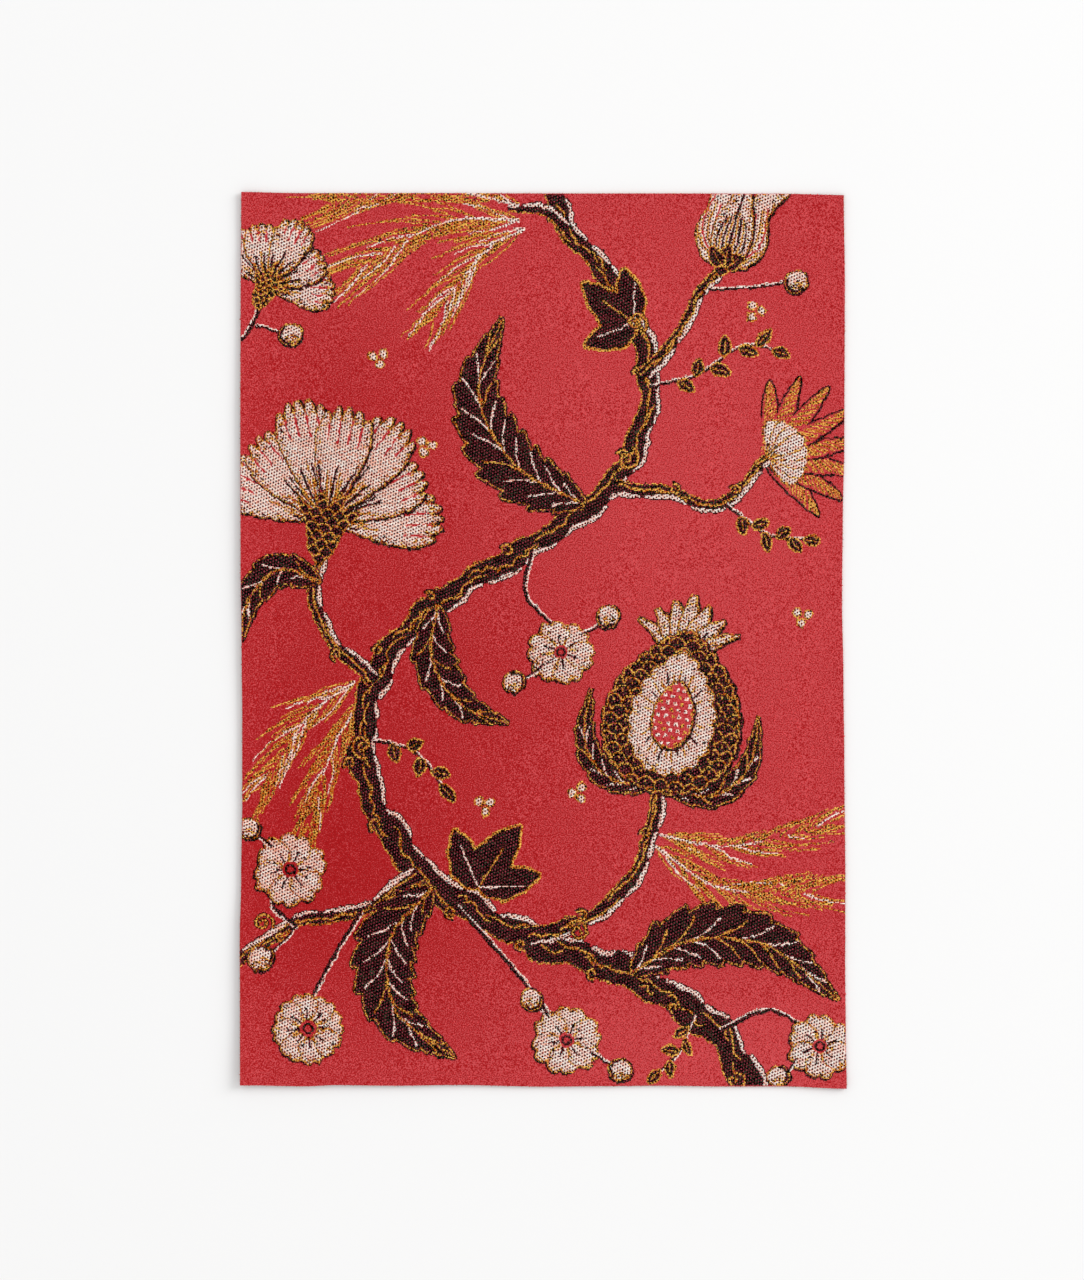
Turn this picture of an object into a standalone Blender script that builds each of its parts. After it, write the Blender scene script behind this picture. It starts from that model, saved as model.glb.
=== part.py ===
"""A cut length of red jacquard furnishing cloth, lying face up on a flat surface.

Metres, +Z up.  The origin is on the surface, under the middle of the cloth.
+X runs across the cloth along the weft, +Y runs up its length along the warp.
The piece is one cut panel with raw edges: no hem, lining, lace or label.
"""
import math

import bpy
import numpy as np

# ---- driving sizes -------------------------------------------------------
CUT_WIDTH = 0.2050        # along the weft, between the nominal cut lines
CUT_LENGTH = 0.3030       # along the warp
THICKNESS = 0.0012        # woven layers with their floats, uncompressed
FINE_ZONE = 0.0140        # strip inside each edge that takes the smaller cells
FINE_CELLS = 5            # cells across that strip
BROAD_CELLS_ACROSS = 20   # cells between the two strips, across the cloth
BROAD_CELLS_ALONG = 34    # the same, along the cloth
LEFT_REACH = 0.0140       # how far in from the left edge its lift fades out
FOOT_REACH = 0.0112       # the same for the lower edge
REST_REACH = 0.0056       # the same for the right and upper edges, which lie down
REST_LIFT = 0.00012       # height that a cut edge keeps where it lies down
CORNER_REACH = 0.0340     # each corner curls up: x and y distance together to its end
CORNER_LIFT = 0.00030     # height of that curl at the very corner

MM = 0.001

# How far each hand cut edge strays outside (+) or inside (-) its straight cut
# line.  at: 0 at the lower or left end of the edge, 1 at its other end.
#                    at    out_mm
LEFT_CUT = (
    (0.000, 0.49), (0.096, 0.53), (0.163, 0.63), (0.230, 0.19), (0.320, -0.19),
    (0.410, -0.19), (0.499, 0.02), (0.589, 0.36), (0.724, 0.46), (0.858, 0.39),
    (1.000, 0.15),
)
RIGHT_CUT = (
    (0.000, 0.63), (0.050, 0.35), (0.140, 0.12), (0.230, 0.18), (0.365, -0.16),
    (0.455, -0.46), (0.544, -0.94), (0.634, -0.70), (0.724, -0.16), (0.903, 0.01),
    (1.000, -0.36),
)
FOOT_CUT = (
    (0.000, -0.37), (0.106, 0.01), (0.156, -0.40), (0.255, -0.16), (0.354, -0.40),
    (0.503, 0.18), (0.603, 0.01), (0.702, -0.13), (0.800, 0.14), (0.900, 0.11),
    (1.000, 0.89),
)
HEAD_CUT = (
    (0.000, 0.89), (0.106, 0.55), (0.305, 0.59), (0.503, 0.45), (0.702, 0.45),
    (0.900, 0.32), (1.000, -0.13),
)

# How high each loose edge stands off the surface.
#                    at    lift_mm
LEFT_LIFT = (
    (0.00, 1.50), (0.12, 1.30), (0.25, 0.70), (0.40, 0.90), (0.55, 1.20),
    (0.75, 1.00), (0.90, 0.70), (1.00, 0.50),
)
FOOT_LIFT = (
    (0.00, 1.20), (0.15, 1.10), (0.30, 0.80), (0.50, 0.50), (0.70, 0.35),
    (0.85, 0.20), (1.00, 0.30),
)

# Soft swells left in the cloth after it was smoothed out by hand.
# name, centre_x_mm, centre_y_mm, turn_deg, half_width_mm, half_length_mm, height_mm
SWELLS = (
    ("middle", 8.0, 38.0, 72.0, 52.0, 100.0, 0.75),
    ("lower left", -38.0, -72.0, 100.0, 40.0, 62.0, 0.60),
    ("lower right", 52.0, -104.0, 12.0, 26.0, 46.0, 0.45),
    ("upper left", -58.0, 96.0, 60.0, 24.0, 48.0, 0.35),
    ("right hand", 78.0, -28.0, 85.0, 18.0, 60.0, 0.30),
)

CLOTH_RED = (0.505, 0.044, 0.050, 1.0)


def along(table, at):
    """Smooth reading of a two column table: flat at each of its own stations."""
    at = np.clip(np.asarray(at, float), 0.0, 1.0)
    stations = np.array([row[0] for row in table])
    values = np.array([row[1] for row in table])
    k = np.clip(np.searchsorted(stations, at, side="right") - 1, 0, len(table) - 2)
    t = (at - stations[k]) / (stations[k + 1] - stations[k])
    t = t * t * (3.0 - 2.0 * t)
    return values[k] * (1.0 - t) + values[k + 1] * t


def fade(distance):
    """1 on a cut edge, 0 from the inside of its strip on."""
    t = np.clip(1.0 - distance / FINE_ZONE, 0.0, 1.0)
    return t * t * (3.0 - 2.0 * t)


def outline(u, v):
    """Plan position of the point u of the way across and v of the way up.
    An edge's straying dies out inside its strip, so the inner cells are square."""
    x, y = (u - 0.5) * CUT_WIDTH, (v - 0.5) * CUT_LENGTH
    stray_x = (along(RIGHT_CUT, v) * fade((1.0 - u) * CUT_WIDTH)
               - along(LEFT_CUT, v) * fade(u * CUT_WIDTH)) * MM
    stray_y = (along(HEAD_CUT, u) * fade((1.0 - v) * CUT_LENGTH)
               - along(FOOT_CUT, u) * fade(v * CUT_LENGTH)) * MM
    return x + stray_x, y + stray_y


def underside(x, y, u, v):
    """Height of the cloth's underside: zero wherever it lies on the surface."""
    height = np.zeros_like(x)
    for _name, cx, cy, turn, half_width, half_length, rise in SWELLS:
        c, s = math.cos(math.radians(turn)), math.sin(math.radians(turn))
        dx, dy = x - cx * MM, y - cy * MM
        lengthwise = (dx * c + dy * s) / (half_length * MM)
        crosswise = (-dx * s + dy * c) / (half_width * MM)
        height += (rise * MM * np.clip(1.0 - lengthwise ** 2, 0.0, 1.0) ** 2
                   * np.clip(1.0 - crosswise ** 2, 0.0, 1.0) ** 2)
    from_left = np.clip(1.0 - (x + CUT_WIDTH / 2) / LEFT_REACH, 0.0, 1.1)
    from_foot = np.clip(1.0 - (y + CUT_LENGTH / 2) / FOOT_REACH, 0.0, 1.1)
    from_right = np.clip(1.0 - (CUT_WIDTH / 2 - x) / REST_REACH, 0.0, 1.1)
    from_head = np.clip(1.0 - (CUT_LENGTH / 2 - y) / REST_REACH, 0.0, 1.1)
    left = along(LEFT_LIFT, v) * MM * from_left ** 2
    foot = along(FOOT_LIFT, u) * MM * from_foot ** 2
    lying = REST_LIFT * np.hypot(from_right ** 2, from_head ** 2)
    inward = CUT_WIDTH / 2 - np.abs(x) + CUT_LENGTH / 2 - np.abs(y)
    curl = CORNER_LIFT * np.clip(1.0 - inward / CORNER_REACH, 0.0, 1.1) ** 2
    return np.round(height + np.hypot(left, foot) + lying + curl, 7)


def stations(length, broad_cells):
    """Cell lines from 0 to 1: close together in both edge strips."""
    strip = FINE_ZONE / length
    fine = np.linspace(0.0, strip, FINE_CELLS + 1)
    broad = np.linspace(strip, 1.0 - strip, broad_cells + 1)
    return np.concatenate([fine[:-1], broad, (1.0 - fine[:-1])[::-1]])


def cloth_mesh(name):
    us = stations(CUT_WIDTH, BROAD_CELLS_ACROSS)
    vs = stations(CUT_LENGTH, BROAD_CELLS_ALONG)
    u, v = np.meshgrid(us, vs)
    x, y = outline(u, v)
    low = underside(x, y, u, v)
    x = x - (x.min() + x.max()) / 2
    y = y - (y.min() + y.max()) / 2
    rows, cols = x.shape
    count = rows * cols
    bottom = np.stack([x, y, low], axis=-1).reshape(-1, 3)
    top = np.stack([x, y, low + THICKNESS], axis=-1).reshape(-1, 3)

    faces = []
    for j in range(rows - 1):
        for i in range(cols - 1):
            a = j * cols + i
            faces.append((a, a + cols, a + cols + 1, a + 1))
            faces.append((count + a, count + a + 1, count + a + cols + 1, count + a + cols))
    ring = ([i for i in range(cols)]
            + [j * cols + cols - 1 for j in range(1, rows)]
            + [(rows - 1) * cols + i for i in range(cols - 2, -1, -1)]
            + [j * cols for j in range(rows - 2, 0, -1)])
    for k, a in enumerate(ring):
        b = ring[(k + 1) % len(ring)]
        faces.append((a, b, count + b, count + a))

    mesh = bpy.data.meshes.new(name)
    mesh.from_pydata([tuple(p) for p in np.concatenate([bottom, top])], [], faces)
    mesh.validate()
    mesh.shade_smooth()
    mesh.set_sharp_from_angle(angle=math.radians(40.0))
    return mesh


def cloth_material():
    mat = bpy.data.materials.new("red jacquard")
    mat.use_nodes = True
    shader = mat.node_tree.nodes["Principled BSDF"]
    shader.inputs["Base Color"].default_value = CLOTH_RED
    shader.inputs["Roughness"].default_value = 0.75
    shader.inputs["Metallic"].default_value = 0.0
    return mat


def main():
    for old in list(bpy.data.objects):
        bpy.data.objects.remove(old, do_unlink=True)
    mesh = cloth_mesh("cloth")
    mesh.materials.append(cloth_material())
    cloth = bpy.data.objects.new("cloth", mesh)
    bpy.context.scene.collection.objects.link(cloth)


main()
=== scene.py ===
"""Looks of the jacquard cloth: the red ground weave, the woven figure built float by
float in three figuring yarns, the cut edges, and a plain studio around it."""
import math

import bpy
import numpy as np
import math

import numpy as np
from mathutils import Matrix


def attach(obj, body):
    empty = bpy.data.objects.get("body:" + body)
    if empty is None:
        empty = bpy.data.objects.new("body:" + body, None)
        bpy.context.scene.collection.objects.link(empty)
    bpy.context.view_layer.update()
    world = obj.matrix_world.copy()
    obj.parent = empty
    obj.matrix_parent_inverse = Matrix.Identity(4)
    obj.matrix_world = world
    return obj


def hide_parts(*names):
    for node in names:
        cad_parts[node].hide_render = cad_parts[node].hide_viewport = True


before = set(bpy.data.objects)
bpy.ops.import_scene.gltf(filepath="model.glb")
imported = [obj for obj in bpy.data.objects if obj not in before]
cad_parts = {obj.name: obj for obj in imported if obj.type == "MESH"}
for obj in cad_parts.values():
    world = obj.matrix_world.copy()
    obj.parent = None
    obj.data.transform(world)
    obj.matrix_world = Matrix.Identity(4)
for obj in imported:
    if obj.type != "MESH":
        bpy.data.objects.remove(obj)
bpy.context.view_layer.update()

GROUND, DARK, CREAM, GOLD = 0, 1, 2, 3
PICK = 0.388          # mm between picks
END = 0.1168          # mm per step along a pick
FLOAT_ENDS = 23       # steps between the tie-downs of one pick
TIE_SHIFT = 8         # steps that the tie-downs move from one pick to the next
TIE_GAPS = (0.0, 0.03, 0.03, 0.04)   # mm that a float of each yarn keeps from the middle of its tie-down
X0, Y0 = -103.6, -153.3
COLS, ROWS = 1774, 790

chance = np.random.default_rng(41)
plan = np.zeros((ROWS, COLS), np.int8)


def curve(points, step=0.5):
    """Smooth line through the points, sampled about every step millimetres."""
    p = np.asarray(points, float)
    p = np.vstack([2 * p[0] - p[1], p, 2 * p[-1] - p[-2]])
    out = []
    for i in range(1, len(p) - 2):
        n = max(2, int(np.hypot(*(p[i + 1] - p[i])) / step))
        t = np.linspace(0.0, 1.0, n, endpoint=False)[:, None]
        a, b, c, d = p[i - 1], p[i], p[i + 1], p[i + 2]
        out.append(0.5 * (2 * b + (c - a) * t + (2 * a - 5 * b + 4 * c - d) * t ** 2
                          + (3 * b - a - 3 * c + d) * t ** 3))
    out.append(p[-2][None])
    return np.concatenate(out)


def run_of(path):
    """Distance along the path, 0 at its start and 1 at its end."""
    s = np.concatenate([[0.0], np.cumsum(np.hypot(*np.diff(path, axis=0).T))])
    return s / s[-1]


def side_of(path):
    """Unit normals of the path, to its left."""
    d = np.gradient(path, axis=0)
    n = np.stack([-d[:, 1], d[:, 0]], axis=1)
    return n / np.maximum(np.hypot(n[:, 0], n[:, 1]), 1e-9)[:, None]


def at_run(path, t):
    """Point, direction and left normal at a fraction t of the path."""
    s = run_of(path)
    point = np.array([np.interp(t, s, path[:, 0]), np.interp(t, s, path[:, 1])])
    n = side_of(path)
    left = np.array([np.interp(t, s, n[:, 0]), np.interp(t, s, n[:, 1])])
    left = left / np.hypot(*left)
    return point, np.array([left[1], -left[0]]), left


def ribbon(path, width):
    path = np.asarray(path, float)
    half = side_of(path) * (np.broadcast_to(width, len(path)) / 2.0)[:, None]
    return np.concatenate([path + half, (path - half)[::-1]])


def closed(loop):
    return np.vstack([loop, loop[:2]])


def wavering(path, width, share=0.38):
    """Widths of a line that swells and thins along its run, in millimetres."""
    s = np.concatenate([[0.0], np.cumsum(np.hypot(*np.diff(path, axis=0).T))])
    swell = (0.6 * np.sin(s * 1.15 + chance.uniform(0, 6)) + 0.5 * np.sin(s * 2.3 + chance.uniform(0, 6))
             + 0.4 * np.sin(s * 0.45 + chance.uniform(0, 6)))
    return width * np.clip(1.0 + share * swell, 0.35, 1.7)


def place(local, base, aim):
    """Turn a shape drawn along +y to the direction aim, in degrees, and put it at base."""
    a = math.radians(aim - 90.0)
    c, s = math.cos(a), math.sin(a)
    local = np.asarray(local, float)
    return np.stack([local[:, 0] * c - local[:, 1] * s + base[0],
                     local[:, 0] * s + local[:, 1] * c + base[1]], axis=1)


def covered(loops):
    """Rows, columns and non-zero winding cover of some closed loops."""
    pts = np.concatenate(loops)
    r0 = max(0, int((pts[:, 1].min() - Y0) / PICK) - 1)
    r1 = min(ROWS, int((pts[:, 1].max() - Y0) / PICK) + 2)
    c0 = max(0, int((pts[:, 0].min() - X0) / END) - 1)
    c1 = min(COLS, int((pts[:, 0].max() - X0) / END) + 2)
    if r1 <= r0 or c1 <= c0:
        return None
    turns = np.zeros((r1 - r0, c1 - c0 + 1), np.int32)
    for loop in loops:
        a, b = loop, np.roll(loop, -1, axis=0)
        ya = (a[:, 1] - Y0) / PICK - 0.5 - r0
        yb = (b[:, 1] - Y0) / PICK - 0.5 - r0
        low = np.clip(np.ceil(np.minimum(ya, yb)), 0, r1 - r0)
        high = np.clip(np.ceil(np.maximum(ya, yb)), 0, r1 - r0)
        n = (high - low).astype(int)
        edge = np.repeat(np.arange(len(a)), n)
        if len(edge) == 0:
            continue
        first = np.repeat(np.cumsum(n) - n, n)
        row = low[edge].astype(int) + np.arange(len(edge)) - first
        t = (row - ya[edge]) / (yb[edge] - ya[edge])
        x = a[edge, 0] + (b[edge, 0] - a[edge, 0]) * t
        col = np.clip(np.ceil((x - X0) / END - 0.5 - c0), 0, c1 - c0).astype(int)
        np.add.at(turns, (row, col), np.where(yb[edge] > ya[edge], 1, -1))
    return slice(r0, r1), slice(c0, c1), np.cumsum(turns, axis=1)[:, :-1] != 0


def paint(loops, yarn, within=None):
    found = covered(loops)
    if found is None:
        return
    rows, cols, cover = found
    if within is not None:
        cover = cover & within[rows, cols]
    plan[rows, cols][cover] = yarn


def mask_of(loops):
    mask = np.zeros((ROWS, COLS), bool)
    found = covered(loops)
    if found is not None:
        mask[found[0], found[1]] = found[2]
    return mask


def line(points, width, yarn, within=None, step=0.5):
    paint([ribbon(curve(points, step), width)], yarn, within)


def flecks(loops, yarn, share, within=None, shortest=4, longest=9):
    """Short picks of another yarn, strewn over a share of the loops' area."""
    found = covered(loops)
    if found is None:
        return
    rows, cols, cover = found
    if within is not None:
        cover = cover & within[rows, cols]
    strewn = np.zeros_like(cover)
    count = int(cover.sum() * share / ((shortest + longest) / 2))
    if count == 0:
        return
    r, c = np.nonzero(cover)
    for k in chance.integers(0, len(r), count):
        strewn[r[k], c[k]:c[k] + int(chance.integers(shortest, longest + 1))] = True
    plan[rows, cols][strewn & cover] = yarn


# -- motifs --

def bead(loops, share=0.16):
    """Break a gold line up with dark picks and a few that rest below."""
    golden = plan == GOLD
    flecks(loops, DARK, share, golden, 3, 6)
    flecks(loops, GROUND, share * 0.4, golden, 2, 5)


def outlined(loop, yarn, outer=DARK, rim=GOLD, outer_width=1.75, rim_width=0.95, nudge=(0.28, -0.30)):
    """Shape with a gold line round it and a dark line outside that."""
    loop = np.asarray(loop, float)
    if outer is not None:
        paint([ribbon(closed(loop + nudge), outer_width)], outer)
    if rim is not None:
        paint([ribbon(closed(loop), wavering(closed(loop), rim_width))], rim)
    paint([loop], yarn)
    if rim is not None:
        bead([ribbon(closed(loop), rim_width + 0.3)], 0.22)
    return mask_of([loop])


def mottled(loop, inner, reach=3.4, share=0.34, side=None):
    """Gold and dark picks strewn over a shape's border, or over one side of it."""
    band = ribbon(closed(np.asarray(loop, float)), reach)
    within = inner if side is None else inner & side
    flecks([band], GOLD, share, within, 5, 12)
    flecks([band], DARK, share * 0.36, within, 4, 8)


def stem(points, width_start, width_end, light=CREAM, scrolls=0, bark=1.0):
    """Woody stem: dark, a beaded gold line on its left side and a light line on its right."""
    path = curve(points)
    s = run_of(path)
    length = np.hypot(*np.diff(path, axis=0).T).sum()
    rough = (0.13 * np.sin(s * length * 0.21) + 0.08 * np.sin(s * length * 0.47 + 1.3)
             + 0.05 * np.sin(s * length * 0.93 + 0.4)) * bark
    width = (width_start + (width_end - width_start) * s) * (1.0 + rough)
    n = side_of(path)
    path = path + n * (0.10 * width * np.sin(s * length * 0.33 + 2.0) * bark)[:, None]
    n = side_of(path)
    paint([ribbon(path, width + 0.9)], DARK)
    beaded = path + n * (width * 0.5 + 0.15)[:, None]
    paint([ribbon(beaded, wavering(beaded, 0.95, 0.5))], GOLD)
    bead([ribbon(beaded, 1.4)], 0.26)
    body = mask_of([ribbon(path, width)])
    paint([ribbon(path, width)], DARK)
    if light is not None:
        k = 0.01
        while k < 0.98:
            reach = chance.uniform(7.0, 20.0) / length
            part = (s >= k) & (s <= k + reach)
            if part.sum() > 5:
                w = np.sin(np.pi * np.linspace(0.06, 0.94, part.sum())) ** 0.6 * chance.uniform(0.9, 1.5)
                edge = (path - n * (width * 0.5 + 0.25)[:, None])[part]
                paint([ribbon(edge, w + 0.9)], DARK)
                paint([ribbon(edge, w + 0.25)], light)
            k += reach + chance.uniform(0.5, 2.5) / length
    if width_start > 2.6:
        k = 0.01
        while k < 0.97:
            reach = chance.uniform(5.0, 14.0) / length
            part = (s >= k) & (s <= k + reach)
            if part.sum() > 5:
                off = chance.uniform(-0.26, 0.26)
                sway = 0.10 * np.sin(np.linspace(0, chance.uniform(3, 9), part.sum()))
                w = 0.62 * np.sin(np.pi * np.linspace(0.15, 0.9, part.sum())) + 0.18
                lane = path[part] + n[part] * (width[part] * (off + sway))[:, None]
                paint([ribbon(lane, w)], GOLD, body)
            k += reach * chance.uniform(0.45, 0.85)
    for k in range(scrolls):
        t = (k + 0.5 + chance.uniform(-0.25, 0.25)) / scrolls
        p, d, left = at_run(path, t)
        w = np.interp(t, s, width)
        a = np.linspace(-0.6, 1.5 * np.pi, 40)
        r = np.linspace(1.9, 0.75, 40) * chance.uniform(0.85, 1.25)
        hook = p + left * (w * 0.42) + np.outer(np.cos(a) * r, left) + np.outer(np.sin(a) * r, d)
        paint([ribbon(hook, 1.9)], DARK)
        paint([ribbon(hook, 0.85)], GOLD)


def thin(points, width=1.0, yarn=DARK, light=CREAM):
    """Fine stalk with a light line along one side."""
    path = curve(points)
    s = run_of(path)
    w = width * (1.0 - 0.35 * s)
    if light is not None:
        paint([ribbon(path + side_of(path) * 0.62, 0.85 * w)], light)
    paint([ribbon(path, w * 0.9)], yarn)


def curl(base, aim, size, turn=1.0, width=1.0, yarn=GOLD):
    """Tendril that winds into a small spiral."""
    a = np.linspace(0.0, 3.3 * np.pi, 90)
    r = size * np.exp(-0.17 * a)
    spiral = np.stack([turn * (size - r * np.cos(a)), r * np.sin(a)], axis=1)
    w = width * np.linspace(1.0, 0.66, len(a))
    paint([ribbon(place(spiral, base, aim), w + 0.5)], DARK)
    paint([ribbon(place(spiral, base, aim), w)], yarn)


def leaf(spine, width, teeth=9, depth=0.24, fill=DARK, rim=GOLD, rib=GOLD, vein=CREAM,
         lean=0.0, veins=None, bite=0.0):
    """Long curved leaf with teeth towards its tip, a midrib and a vein to each tooth."""
    path = curve(spine, 0.35)
    s, n = run_of(path), side_of(path)
    body = np.sin(np.pi * np.clip(s, 0, 1) ** 0.72) ** 0.9
    tooth = 1.0 - depth * (1.0 - (s * teeth) % 1.0) if teeth else np.ones_like(s)
    tooth = np.where(s < 0.08, 1.0 - depth * 0.5, tooth)
    left = width / 2 * (1 + lean) * body * tooth
    right = width / 2 * (1 - lean) * body * np.roll(tooth, 7)
    loop = np.concatenate([path + n * left[:, None], (path - n * right[:, None])[::-1]])
    if rim is not None:
        paint([ribbon(closed(loop) + (0.12, -0.14), 1.8)], DARK)
        paint([ribbon(closed(loop), wavering(closed(loop), 0.95, 0.5))], rim)
    inner = mask_of([loop])
    paint([loop], fill)
    if rim is not None:
        bead([ribbon(closed(loop), 1.3)], 0.20)
    for k in range(1, veins if veins is not None else teeth):
        t = k / max(teeth, 1)
        p, d, l = at_run(path, max(0.02, t - 0.10))
        for way, reach in ((1, np.interp(t, s, left)), (-1, np.interp(t, s, right))):
            if reach < 1.6:
                continue
            q, _, lq = at_run(path, min(0.99, t + 0.02))
            tip = q + lq * way * reach * chance.uniform(0.66, 0.8)
            mid = (p + tip) / 2 - l * way * reach * 0.06 + d * reach * 0.05
            stroke = curve([p, mid, tip])
            paint([ribbon(stroke, wavering(stroke, 0.60, 0.45))], vein if chance.random() < 0.7 else GOLD, inner)
    if rib is not None:
        paint([ribbon(path, wavering(path, 1.0, 0.4) * (1 - 0.5 * s) + 0.1)], rib)
        bead([ribbon(path, 1.4)], 0.20)
    return inner


def lobed(centre, aim, size, lobes=3, rim=GOLD, fill=DARK):
    """Broad dark leaf of pointed lobes that curl at their tips."""
    shapes = []
    for k in range(lobes):
        f = (k - (lobes - 1) / 2)
        turn = aim + f * 58.0 + chance.uniform(-6, 6)
        long = size * (1.0 - 0.16 * abs(f))
        bend = (0.16 if f >= 0 else -0.16) * long
        t = np.linspace(0, 1, 26)
        half = long * 0.27 * np.sin(np.pi * t ** 0.8) ** 0.85 * (1 + 0.08 * np.sin(t * 19))
        axis = np.stack([bend * t ** 2, t * long], axis=1)
        loop = np.concatenate([axis + np.stack([-half, 0 * half], 1), (axis + np.stack([half * 0.85, 0 * half], 1))[::-1]])
        shapes.append(place(loop, centre, turn))
    for loop in shapes:
        paint([ribbon(closed(loop), 1.9)], rim)
    paint(shapes, fill)
    whole = mask_of(shapes)
    for k in range(lobes):
        f = (k - (lobes - 1) / 2)
        line(place(np.array([[0, 0], [0.02 * size, size * 0.3], [0.05 * size, size * 0.62]]), centre, aim + f * 56),
             0.6, GOLD if k % 2 else CREAM, whole)


def small_leaf(base, aim, length, width, fill=DARK, rim=GOLD, rib=True):
    t = np.linspace(0, 1, 22)
    half = width / 2 * np.sin(np.pi * t ** 0.85) ** 0.9
    loop = np.concatenate([np.stack([-half, t * length], 1), np.stack([half, t * length], 1)[::-1]])
    loop = place(loop, base, aim)
    if rim is not None:
        paint([ribbon(closed(loop), 1.25)], rim)
    paint([loop], fill)
    if rib:
        line(place([(0, length * 0.12), (0, length * 0.75)], base, aim), 0.45, GOLD if fill == DARK else DARK,
             mask_of([loop]))


def sprig(points, leaves=6, length=6.5, width=3.2, rim=GOLD, stalk=1.0, light=CREAM):
    """Thin stalk with small dark leaves in pairs."""
    thin(points, stalk, DARK, light)
    path = curve(points)
    for k in range(leaves):
        t = 0.22 + 0.74 * k / max(1, leaves - 1)
        p, d, left = at_run(path, min(t, 0.99))
        heading = math.degrees(math.atan2(d[1], d[0]))
        way = 1 if k % 2 else -1
        spread = 0 if k == leaves - 1 else way * chance.uniform(42, 62)
        small_leaf(p, heading + spread, length * chance.uniform(0.85, 1.15), width * chance.uniform(0.9, 1.15), rim=rim)


def petal_shape(length, width, crown=5, notch=0.10):
    """Petal along +y with a toothed or round crown."""
    t = np.linspace(0.0, 1.0, 40)
    half = width / 2 * np.sin(np.pi / 2 * t) ** 1.25
    left = np.stack([-half, t * length * 0.80], axis=1)
    u = np.linspace(-1.0, 1.0, 16 * max(1, crown) + 1)
    arch = length * (0.80 + 0.20 * np.sqrt(np.clip(1 - u ** 2, 0, 1)))
    if crown:
        arch = arch - length * notch * np.abs(np.sin((u + 1) / 2 * np.pi * crown + np.pi / 2)) ** 3
    top = np.stack([u * width / 2, arch], axis=1)
    return np.concatenate([left, top, left[::-1] * (-1, 1)])


def petal(base, aim, length, width, crown=5, notch=0.10, fill=CREAM, rim=GOLD, outer=DARK,
          hatch=GOLD, hatches=7, reach=0.55, slits=0, mottle=0.3):
    loop = place(petal_shape(length, width, crown, notch), base, aim)
    inner = outlined(loop, fill, outer, rim)
    if mottle:
        mottled(loop, inner, 3.6, mottle)
    for k in range(hatches):
        u = (k + 0.5) / hatches * 2 - 1
        far = reach * (1 - 0.45 * abs(u)) * chance.uniform(0.75, 1.2)
        t = np.array([0.05, 0.4 * far + 0.02, 0.75 * far, far])
        half = width / 2 * np.sin(np.pi / 2 * t) ** 1.25 * 0.86
        local = np.stack([u * half, t * length * 0.86], axis=1)
        ray = curve(place(local, base, aim))
        paint([ribbon(ray, wavering(ray, 0.58, 0.5))], hatch if k % 3 else DARK, inner)
    for k in range(slits):
        u = (k + 0.5) / slits * 2 - 1
        near = 0.70 + 0.06 * chance.uniform(-1, 1)
        local = np.array([[u * width * 0.38, length * near], [u * width * 0.43, length * 0.95]])
        slit = curve(place(local, base, aim))
        paint([ribbon(slit, wavering(slit, 0.7, 0.5))], GROUND, inner)
    return inner


def scales(within, centre, aim, width, height, pitch, yarn=GOLD, weight=0.62, seed_yarn=None):
    """Rows of small arcs, each row half a step along from the one below."""
    rows = int(height / (pitch * 0.62)) + 2
    cols = int(width / pitch) + 2
    a = np.linspace(math.radians(8), math.radians(172), 18)
    for r in range(rows):
        for c in range(cols):
            x = (c - cols / 2 + (0.5 if r % 2 else 0.0)) * pitch
            y = (r - rows / 2) * pitch * 0.62
            arc = np.stack([x + np.cos(a) * pitch * 0.5, y + np.sin(a) * pitch * 0.52], axis=1)
            paint([ribbon(place(arc, centre, aim), weight * chance.uniform(0.85, 1.2))], yarn, within)
            if seed_yarn is not None and chance.random() < 0.7:
                dot = np.array([[x, y + pitch * 0.12], [x, y + pitch * 0.30]])
                paint([ribbon(place(dot, centre, aim), 0.6)], seed_yarn, within)


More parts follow.
